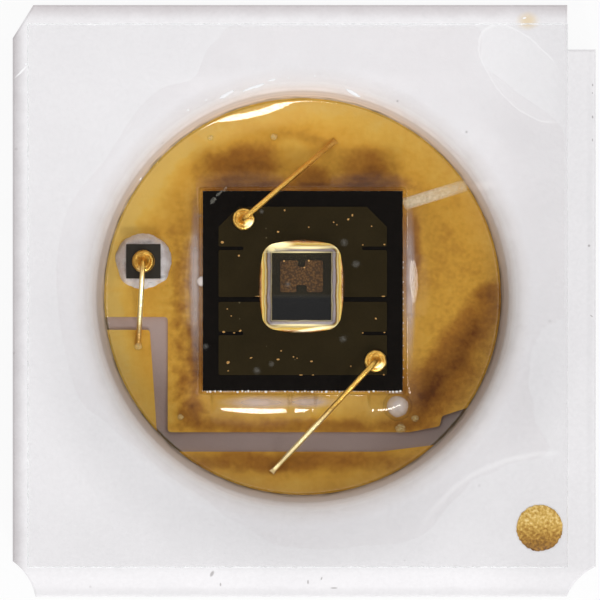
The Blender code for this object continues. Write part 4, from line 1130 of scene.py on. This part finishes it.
def build_fillet():
    """A collar of resin that climbs the die's four sides."""
    bm = bmesh.new()
    base = block_outline(DIE_X, DIE_Y, DIE_HALF_X + FILLET_ROOM, DIE_HALF_Y + FILLET_ROOM, 0.002)
    rings = [[bm.verts.new((place.x, place.y, FILLET_LOW)) for place in base]]
    for step in range(FILLET_STEPS + 1):
        share = step / FILLET_STEPS
        width = FILLET_ROOM + FILLET_WIDTH * share
        corner = 0.002 + FILLET_WIDTH * share * 0.9
        ring = []
        for place in block_outline(DIE_X, DIE_Y, DIE_HALF_X + width, DIE_HALF_Y + width, corner):
            wobble = noise_at(place.x * FILLET_WAVES_A_MM, place.y * FILLET_WAVES_A_MM, 2.0)
            place = place.lerp(Vector((DIE_X, DIE_Y)), FILLET_PULL * share * corner_share(place))
            height = FILLET_LOW + 0.002 + FILLET_THICKNESS * (1.0 - share) ** 2.2
            height += FILLET_WAVE * wobble * math.sin(math.pi * share)
            ring.append(bm.verts.new((place.x, place.y, max(height, FILLET_LOW + 0.001))))
        rings.append(ring)
    rings.append(at_level(bm, rings[-1], FILLET_LOW))
    skin(bm, rings, around=True)
    piece = make_piece("die_collar", bm, (FILLET,), sharp=50.0)
    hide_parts("die_fillet")


# The polarity mark: its steps, and the heights of its lumps
MARK_SPOKES = 120
MARK_RINGS = 10
MARK_LOW = CERAMIC_TOP + 0.001
MARK_CROWN = MARK_TOP - 0.003
MARK_DROP = 0.007
MARK_LUMP = 0.0018
MARK_LUMPS_A_MM = 60.0


def build_mark():
    """A round printed mark with a ragged edge."""
    bm = bmesh.new()
    rings = []
    for step in range(1, MARK_RINGS + 1):
        share = step / MARK_RINGS
        ring = []
        for angle in angles_round(MARK_SPOKES):
            way = Vector((math.cos(angle), math.sin(angle)))
            rough = noise_at(way.x * 3.0, way.y * 3.0, 4.0)
            fine = noise_at(way.x * 11.0, way.y * 11.0, 8.0)
            radius = MARK_RADIUS * (0.985 + 0.025 * rough + 0.035 * fine)
            x = MARK_X + way.x * radius * share
            y = MARK_Y + way.y * radius * share
            lump = MARK_LUMP * noise_at(x * MARK_LUMPS_A_MM, y * MARK_LUMPS_A_MM, 3.0)
            ring.append(bm.verts.new((x, y, MARK_CROWN - MARK_DROP * share ** 6 + lump)))
        rings.append(ring)
    centre = bm.verts.new((MARK_X, MARK_Y, MARK_CROWN))
    add_lump(bm, centre, rings + [at_level(bm, rings[-1], MARK_LOW)])
    piece = make_piece("mark_ragged", bm, (MARK,))
    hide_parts("polarity_mark")


# Silver epoxy round the diode: its steps and heights, and lumps of (column, row, radius in pixels, rise)
EPOXY_SPOKES = 128
EPOXY_STEPS = 18
EPOXY_LOW = FLOOR_TOP + 0.001
EPOXY_LEAST = EPOXY_LOW + 0.0015
EPOXY_EDGE = 0.004
EPOXY_RISE = 0.050
EPOXY_LUMP = 0.010
EPOXY_LUMPS_A_MM = 22.0
EPOXY_INNER = DIODE_HALF + 0.0012
EPOXY_BLOBS = (
    (150.7, 288.8, 7, 0.03), (132, 290.5, 6, 0.024), (164, 280.7, 5.5, 0.026), (121, 268, 6, 0.01),
    (143, 240, 6, 0.008),
)


def epoxy_height(x, y, share):
    """The epoxy's level: high against the diode, and lumpy."""
    lump = EPOXY_LUMP * noise_at(x * EPOXY_LUMPS_A_MM, y * EPOXY_LUMPS_A_MM, 6.0)
    height = EPOXY_LOW + EPOXY_EDGE + EPOXY_RISE * (1.0 - share * share) + lump * (1.0 - share ** 4)
    for px, py, radius, rise in EPOXY_BLOBS:
        away = math.hypot(x - plan_x(px) / MM, y - plan_y(py) / MM) / (radius * PIXEL)
        height += rise * max(0.0, 1.0 - away * away)
    return max(EPOXY_LEAST, height)


def build_epoxy():
    """A lumpy ring of silver epoxy that the diode is bedded in."""
    bm = bmesh.new()
    rings = []
    for step in range(EPOXY_STEPS + 1):
        share = step / EPOXY_STEPS
        ring = []
        for angle in angles_round(EPOXY_SPOKES, 0.5):
            across = math.cos(angle)
            back = math.sin(angle)
            inner = EPOXY_INNER / max(abs(across), abs(back))
            wobble = noise_at(across * 2.0, back * 2.0, 9.0)
            fine = noise_at(across * 7.0, back * 7.0, 4.0)
            outer = EPOXY_RADIUS * (0.94 + 0.07 * wobble + 0.02 * fine)
            reach = inner + (outer - inner) * share
            x = DIODE_X + across * reach
            y = DIODE_Y + back * reach
            ring.append(bm.verts.new((x, y, epoxy_height(x, y, share))))
        rings.append(ring)
    rings.insert(0, at_level(bm, rings[0], EPOXY_LOW))
    rings.append(at_level(bm, rings[-1], EPOXY_LOW))
    skin(bm, rings, around=True)
    piece = make_piece("epoxy_ring", bm, (EPOXY,), sharp=50.0)
    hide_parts("diode_epoxy")


# Bond wires, on the same routes as the solids
SEAT = 0.001
DIODE_PAD_TOP = 0.611
WIRE_RADIUS = 0.0155
WIRE_SIDES = 20
WIRE_STEPS = 40
WIRE_OVER_EDGE = 0.150
WIRE_LANDING_SHARE = 0.6
WIRE_HEEL = 0.035
HEEL_STEPS = 8
STITCH_STEPS = 8
STITCH_LENGTH = 0.060
STITCH_SPREAD = 1.3
STITCH_SQUEEZE = 0.45
BALL_RADIUS = 0.066
BALL_HEIGHT = 0.026
BALL_NECK = 0.034
BALL_UNEVEN = 0.07
# The pressed ball from its foot up: heights and radii as shares of the ball's
BALL_PROFILE = (
    (0, 0.84), (0.18, 0.95), (0.42, 1), (0.68, 0.98), (0.9, 0.9), (1, 0.8), (0.97, 0.72), (0.84, 0.66),
    (0.78, 0.6), (0.86, 0.54), (1.06, 0.47), (1.34, 0.38), (1.7, 0.29),
)
# Piece, node, places of the ball and the stitch, then the height of the ball's seat, how high the loop's
# handle is, how far along the wire clears an edge, and the seed
WIRES = (
    ("gold_wire_upper", "wire_upper", (-0.3625, 0.4875), (0.189, 0.959), TRACK_TOP, 0.170, 0.260, 1.0),
    ("gold_wire_lower", "wire_lower", (0.4265, -0.3605), (-0.196, -1.0285), TRACK_TOP, 0.170, 0.243, 2.0),
    (
        "gold_wire_diode", "wire_diode", (DIODE_X, DIODE_Y), (-0.993, -0.266), DIODE_PAD_TOP,
        0.090, 0.103, 3.0,
    ),
)


def wire_route(length, seat, loop, edge):
    """A bond wire's centre line as (distance, height, slope in radians) from ball to stitch."""
    corner = Vector((length - STITCH_LENGTH, FLOOR_TOP + SEAT + WIRE_RADIUS))
    fall = (corner - Vector((edge, seat + WIRE_OVER_EDGE))).normalized()
    landing = corner - fall * WIRE_HEEL
    neck = Vector((0.0, seat + SEAT + BALL_HEIGHT + BALL_NECK))
    handles = (neck, neck + Vector((0.0, loop)), landing - fall * length * WIRE_LANDING_SHARE, landing)
    ways = [after - before for before, after in zip(handles, handles[1:])]
    route = []
    for step in range(WIRE_STEPS + 1):
        t = step / WIRE_STEPS
        u = 1.0 - t
        weights = (u ** 3, 3.0 * u * u * t, 3.0 * u * t * t, t ** 3)
        point = sum((handle * weight for handle, weight in zip(handles, weights)), Vector((0.0, 0.0)))
        heading = ways[0] * u * u + ways[1] * 2.0 * u * t + ways[2] * t * t
        route.append((point.x, point.y, math.atan2(heading.y, heading.x)))
    heel_end = corner + Vector((WIRE_HEEL, 0.0))
    slope = math.atan2(fall.y, fall.x)
    for step in range(1, HEEL_STEPS + 1):
        t = step / HEEL_STEPS
        point = landing.lerp(corner, t).lerp(corner.lerp(heel_end, t), t)
        route.append((point.x, point.y, slope * (1.0 - t)))
    return route


def wire_sections(length, seat, loop, edge):
    """Sections of (distance, height, slope, half width, half height), from the ball's foot on."""
    sections = []
    for height_share, radius_share in BALL_PROFILE:
        width = BALL_RADIUS * radius_share
        sections.append((0.0, seat + SEAT + BALL_HEIGHT * height_share, math.pi / 2.0, width, width))
    for distance, height, slope in wire_route(length, seat, loop, edge):
        sections.append((distance, height, slope, WIRE_RADIUS, WIRE_RADIUS))
    for step in range(1, STITCH_STEPS + 1):
        share = step / STITCH_STEPS
        half_width = WIRE_RADIUS * (1.0 + (STITCH_SPREAD - 1.0) * share)
        half_height = WIRE_RADIUS * (1.0 - (1.0 - STITCH_SQUEEZE) * share)
        distance = length - (STITCH_LENGTH - WIRE_HEEL) * (1.0 - share)
        sections.append((distance, FLOOR_TOP + SEAT + half_height, 0.0, half_width, half_height))
    return sections


def build_wire(name, node, ball, stitch, seat, loop, edge, seed):
    """A ball bond with its capillary's print, the wire, and the flattened stitch."""
    run = Vector(stitch) - Vector(ball)
    ahead = run.normalized().to_3d()
    side = Vector((-ahead.y, ahead.x, 0.0))
    up = Vector((0.0, 0.0, 1.0))
    bm = bmesh.new()
    rings = []
    for order, section in enumerate(wire_sections(run.length, seat, loop, edge)):
        distance, height, slope, half_width, half_height = section
        centre = Vector(ball).to_3d() + ahead * distance + up * height
        normal = up * math.cos(slope) - ahead * math.sin(slope)
        ring = []
        for angle in angles_round(WIRE_SIDES):
            swell = 1.0
            if 0 < order < len(BALL_PROFILE):
                uneven = noise_at(math.cos(angle) * 2.2, math.sin(angle) * 2.2, seed + order * 0.35)
                swell = 1.0 + BALL_UNEVEN * uneven
            across = side * math.cos(angle) * half_width * swell
            raised = normal * math.sin(angle) * half_height * swell
            ring.append(bm.verts.new(centre + across + raised))
        rings.append(ring)
    skin(bm, rings)
    bm.faces.new(rings[0])
    bm.faces.new(rings[-1])
    piece = make_piece(name, bm, (WIRE,), sharp=60.0)
    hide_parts(node)


# Small things that the photograph shows, as spots; the bubbles have their height after the tilt
DOME_SPOKES = 18
DOME_RINGS = 6
# Specks of dust on the tracks, and pale grains as painted highlights at the slits' edges and along the
# gap
TRACK_SPECKS_AND_GLINTS = (
    (284.6, 210, 0.9, 0.9, 0), (278, 231.6, 1.2, 1, 0), (222, 242, 1.5, 1.3, 0),
    (238.7, 255.5, 1.1, 0.9, 0), (352.5, 215, 0.8, 1.3, 0), (348.4, 219, 1.3, 1, 40),
    (333.7, 222, 0.8, 0.7, 0), (337, 224.5, 0.6, 0.6, 0), (371.8, 226, 0.7, 0.7, 0),
    (308.8, 227, 0.7, 0.7, 0), (363, 244.7, 0.8, 0.6, 0), (384.7, 244.3, 1, 0.7, 0),
    (376, 318.6, 1.1, 0.8, -30), (227, 309, 0.6, 0.6, 0), (231, 316, 0.6, 0.6, 0),
    (223.4, 332, 1.5, 1, 0), (234, 333, 1, 0.6, 0), (240, 331, 1.4, 0.9, 30), (363, 333, 0.8, 0.6, 0),
    (384.7, 332.5, 0.9, 0.6, 0), (227.8, 362.6, 1.8, 1.3, 20), (251, 358, 1.4, 0.6, 20),
    (281, 351, 1, 0.6, 20), (278, 359.6, 1.6, 0.9, 0), (293.4, 357, 0.7, 0.7, 0),
    (297, 358.4, 0.6, 0.6, 0), (311.5, 361.5, 1.4, 0.8, 0), (228, 371, 0.8, 0.6, 0),
    (301, 375.2, 1.7, 0.5, 0), (313, 375.2, 1.2, 0.4, 0), (351, 366.5, 0.7, 0.7, 0),
    (384, 375, 0.9, 0.8, 0), (263, 296.2, 9, 0.4, 0), (383.5, 296.2, 2, 0.4, 0),
)
DIE_SPECKS = (
    (284, 261, 0.9, 0.9, 0), (308.8, 260.6, 1, 0.9, 0), (304.4, 267.5, 0.8, 0.7, 0),
)
LID_SPOTS = (
    (344.3, 242.6, 5.5, 5.5, 0), (356, 264, 5.5, 5.3, 0), (288, 284.5, 4.2, 4.2, 0),
    (343, 339, 5, 4.6, 0), (271.4, 364, 4, 4, 0), (257, 370.6, 5.5, 5.2, 0), (205.8, 346.4, 4.2, 4.2, 0),
    (261.6, 211.5, 3.2, 3.2, 0), (199.5, 216, 3.6, 3.6, 0),
)
RESIN_BUBBLES = (
    (201.7, 281.4, 7, 7, 0, 0.738), (398, 407, 15, 15, 0, 0.52),
)
RESIN_DROPLETS = (
    (210, 137, 3.6, 3.2, 0), (273.8, 136, 4.4, 4.2, 0), (180, 417.5, 4, 4, 0), (401, 429, 7, 6.4, 0),
    (415.6, 419, 5, 4.6, 0), (137.5, 346.5, 5, 4.6, 0),
)
# White lumps on the rim and ledges: painted highlights for glints
RIM_GLINTS = (
    (228, 93.5, 8, 1.3, 27), (224, 96, 5, 1.8, 27), (251, 88, 9, 1.1, 22), (259, 85.6, 6, 1.2, 22),
    (272, 80, 4, 1, 12), (188, 110, 0.9, 0.9, 0), (206, 100, 0.9, 0.9, 0), (289, 78, 1, 0.7, 0),
    (315, 76, 1.1, 0.8, 0), (140.5, 179, 1.8, 0.5, 55), (353, 93, 8.4, 1.6, -29), (524.5, 18, 2, 0.9, 15),
    (25.9, 64, 1.4, 0.8, 0),
)
DUST = (
    (213, 200, 5, 2.6, 50), (219, 193, 5, 1.8, 45), (225, 188.5, 3.4, 1.6, 60),
)
# Chips in a row along the submount's front edge and in a column along its right edge: pixels, and their
# rises in millimetres
CHIP_ROW_Y = 391.6
CHIP_ROW = (202, 403)
CHIP_ROW_RISE = 0.004
CHIP_LARGE_SHARE = 0.3
CHIP_COLUMN_X = 403.6
CHIP_COLUMN = (262, 391)
CHIP_COLUMN_HALF = 0.45
CHIP_COLUMN_RISE = 0.003
CHIP_BASE = SUBMOUNT_TOP - 0.003
# The milky ridge, from the submount's corner to the wall: pixels, and its rise in millimetres
RIDGE_START = (404, 204)
RIDGE_END = (467, 184.5)
RIDGE_WIDTH = 6.2
RIDGE_RISE = 0.012
RIDGE_STEPS = 30
RIDGE_SPOKES = 8


def add_dome(bm, spot, base, rise, seed, uneven=0.22):
    """A low uneven lump on a flat base, over a spot of the photograph."""
    px, py, half_width, half_height, tilt = spot
    x = plan_x(px) / MM
    y = plan_y(py) / MM
    turned = math.radians(tilt)
    rings = []
    for step in range(1, DOME_RINGS + 1):
        share = step / DOME_RINGS
        height = base + rise * math.sqrt(max(0.0, 1.0 - share * share))
        ring = []
        for angle in angles_round(DOME_SPOKES):
            rough = noise_at(math.cos(angle) * 1.5 + seed, math.sin(angle) * 1.5, seed * 3.1)
            reach = share * (1.0 + uneven * rough)
            across = half_width * PIXEL * reach * math.cos(angle)
            back = half_height * PIXEL * reach * math.sin(angle)
            spot_x = x + across * math.cos(turned) - back * math.sin(turned)
            spot_y = y + across * math.sin(turned) + back * math.cos(turned)
            ring.append(bm.verts.new((spot_x, spot_y, height)))
        rings.append(ring)
    add_lump(bm, bm.verts.new((x, y, base + rise)), rings)


def build_domes(name, spots, base, rise, material, uneven=0.22):
    """Many small lumps as one piece: rise is their height as a share of their smaller half width."""
    bm = bmesh.new()
    for order, spot in enumerate(spots):
        height = base if len(spot) == 5 else spot[5]
        add_dome(bm, spot[:5], height, rise * min(spot[2], spot[3]) * PIXEL, order * 1.37, uneven)
    let_through(make_piece(name, bm, (material,)))


def build_chips():
    """Bright chips that the saw left along the submount's front and right edges."""
    chance = random.Random(7)
    bm = bmesh.new()
    px = CHIP_ROW[0]
    while px < CHIP_ROW[1]:
        large = chance.random() < CHIP_LARGE_SHARE
        half = chance.uniform(0.8, 1.7) if large else chance.uniform(0.3, 0.7)
        tall = chance.uniform(0.9, 1.5) if large else chance.uniform(0.4, 0.8)
        spot = (px + half, CHIP_ROW_Y + chance.uniform(-0.4, 0.4), half, tall, 0.0)
        add_dome(bm, spot, CHIP_BASE, CHIP_ROW_RISE, px)
        px += 2.0 * half + chance.uniform(0.4, 2.4)
    py = CHIP_COLUMN[0]
    while py < CHIP_COLUMN[1]:
        half = chance.uniform(0.4, 1.0)
        spot = (CHIP_COLUMN_X + chance.uniform(-0.2, 0.2), py, CHIP_COLUMN_HALF, half, 0.0)
        add_dome(bm, spot, CHIP_BASE, CHIP_COLUMN_RISE, py)
        py += 2.0 * half + chance.uniform(3.0, 14.0)
    make_piece("submount_chips", bm, (CHIP,))


def build_ridge():
    """A milky ridge of resin that runs from the submount's corner to the wall."""
    bm = bmesh.new()
    start = Vector((plan_x(RIDGE_START[0]), plan_y(RIDGE_START[1]))) / MM
    end = Vector((plan_x(RIDGE_END[0]), plan_y(RIDGE_END[1]))) / MM
    ahead = (end - start).normalized()
    side = Vector((-ahead.y, ahead.x)) * (RIDGE_WIDTH * PIXEL)
    rings = []
    for step in range(RIDGE_STEPS + 1):
        place = start.lerp(end, step / RIDGE_STEPS)
        room_in = max(0.0, place.x - SUBMOUNT_X - SUBMOUNT_HALF)
        room_out = CAVITY_RADIUS - math.hypot(place.x - CAVITY_X, place.y - CAVITY_Y)
        base = resin_height(place.x, place.y, room_in, room_out) - 0.002
        ring = []
        for spoke in range(RIDGE_SPOKES + 1):
            angle = math.pi * spoke / RIDGE_SPOKES
            spot = place + side * math.cos(angle)
            ring.append(bm.verts.new((spot.x, spot.y, base + RIDGE_RISE * math.sin(angle))))
        rings.append(ring)
    skin(bm, rings)
    bm.faces.new(rings[0])
    bm.faces.new(rings[-1])
    let_through(make_piece("resin_ridge", bm, (MILKY,), sharp=60.0))


build_lid()
build_resin()
build_fillet()
build_mark()
build_epoxy()
for settings in WIRES:
    build_wire(*settings)
OVER = 0.0005
DROPLET_BASE = 0.600
# Rises are shares of each spot's smaller half width, and droplets hang below the lid
build_domes("track_specks_and_glints", TRACK_SPECKS_AND_GLINTS, TRACK_TOP + OVER, 0.7, SPECK)
build_domes("die_specks", DIE_SPECKS, DIE_TOP + OVER, 0.7, SPECK)
build_domes("lid_spots", LID_SPOTS, LID_BOTTOM - OVER, -0.5, HAZE, 0.06)
build_domes("resin_bubbles", RESIN_BUBBLES, RESIN_LEVEL, 0.5, BUBBLE, 0.08)
build_domes("resin_droplets", RESIN_DROPLETS, DROPLET_BASE, 0.4, DROPLET, 0.08)
build_domes("rim_glints", RIM_GLINTS, CERAMIC_TOP + OVER, 0.3, GLINT)
build_domes("dust_flakes", DUST, SUBMOUNT_TOP + OVER, 0.3, FLAKE)
build_chips()
build_ridge()


# Floor, light and camera: sizes in metres, then the camera's place in millimetres
STAGE_HALF = 0.16
FLOOR_SHARE_WHITE = 0.90
CAMERA_X = -0.0253
CAMERA_Y = 0.0045
CAMERA_HEIGHT = 99.17
LENS = 1000.0
# The world's light by height, from the horizon to straight up
WORLD_STOPS = (
    (0.00, (0.90, 0.90, 0.90, 1.0)),
    (0.45, (0.86, 0.86, 0.87, 1.0)),
    (0.80, (0.70, 0.70, 0.72, 1.0)),
    (0.95, (0.45, 0.45, 0.46, 1.0)),
    (0.995, (0.02, 0.02, 0.02, 1.0)),
)
# Lamps: name, direction and height in degrees, distance and size in millimetres, power in watts
LAMPS = (
    ("front", 268.5, 48.0, 22.0, 3.1, 0.00052),
    ("front_right", 285.0, 48.0, 22.0, 4.0, 0.00084),
    ("right", 2.0, 50.0, 22.0, 5.0, 0.00036),
    ("rear", 90.0, 28.0, 22.0, 14.0, 0.00050),
    ("left", 180.0, 50.0, 22.0, 12.0, 0.00034),
)


def build_floor():
    """A plain white floor that keeps a faint shadow."""
    mesh = bpy.data.meshes.new("stage_floor")
    corners = [(x * STAGE_HALF, y * STAGE_HALF, 0.0) for x, y in ((-1, -1), (1, -1), (1, 1), (-1, 1))]
    mesh.from_pydata(corners, [], [(0, 1, 2, 3)])
    floor = bpy.data.objects.new("stage_floor", mesh)
    bpy.context.scene.collection.objects.link(floor)
    paint = paint_for("stage_white")
    path = paint.node("LightPath", {})
    seen = paint.maths("MAXIMUM", path["Is Camera Ray"], path["Is Glossy Ray"])
    seen = paint.maths("MAXIMUM", seen, path["Is Transmission Ray"])
    body = paint.node("BsdfDiffuse", {"Color": (0.86, 0.86, 0.86, 1.0)})[0]
    glow = paint.node("Emission", {"Strength": 1.0})[0]
    mesh.materials.append(paint.finish(paint.blend(paint.times(seen, FLOOR_SHARE_WHITE), body, glow)))


def build_world():
    """Soft light from all round, darker straight overhead, and white where the camera sees it."""
    world = bpy.data.worlds.new("studio")
    bpy.context.scene.world = world
    paint = Paint(world)
    height = paint.axis("Z", paint.node("TexCoord", {})["Generated"])
    light = paint.node("Background", {"Color": paint.ramp(height, WORLD_STOPS)})[0]
    white = paint.node("Background", {"Color": WHITE})[0]
    seen = paint.node("LightPath", {})["Is Camera Ray"]
    paint.finish(paint.blend(seen, light, white), "OutputWorld")


def build_lamps():
    """Soft lamps round the object, whose mirror images are the highlights on the resin."""
    for name, turn, lift, away, size, power in LAMPS:
        lamp = bpy.data.lights.new("lamp_" + name, "AREA")
        lamp.shape = "DISK"
        lamp.size = size * MM
        lamp.energy = power
        holder = bpy.data.objects.new("lamp_" + name, lamp)
        flat = away * math.cos(math.radians(lift)) * MM
        across = flat * math.cos(math.radians(turn))
        back = flat * math.sin(math.radians(turn))
        holder.location = (across, back, away * math.sin(math.radians(lift)) * MM)
        holder.rotation_euler = (-holder.location).to_track_quat("-Z", "Y").to_euler()
        holder.visible_camera = False
        bpy.context.scene.collection.objects.link(holder)


def build_camera():
    """A long lens straight above, as through a microscope."""
    lens = bpy.data.cameras.new("camera")
    lens.lens = LENS
    lens.sensor_width = 36.0
    lens.clip_start = 0.005
    lens.clip_end = 0.5
    camera = bpy.data.objects.new("camera", lens)
    camera.location = (CAMERA_X * MM, CAMERA_Y * MM, (CERAMIC_TOP + CAMERA_HEIGHT) * MM)
    bpy.context.scene.collection.objects.link(camera)
    bpy.context.scene.camera = camera


build_floor()
build_world()
build_lamps()
build_camera()
bpy.context.scene.view_settings.view_transform = "Standard"
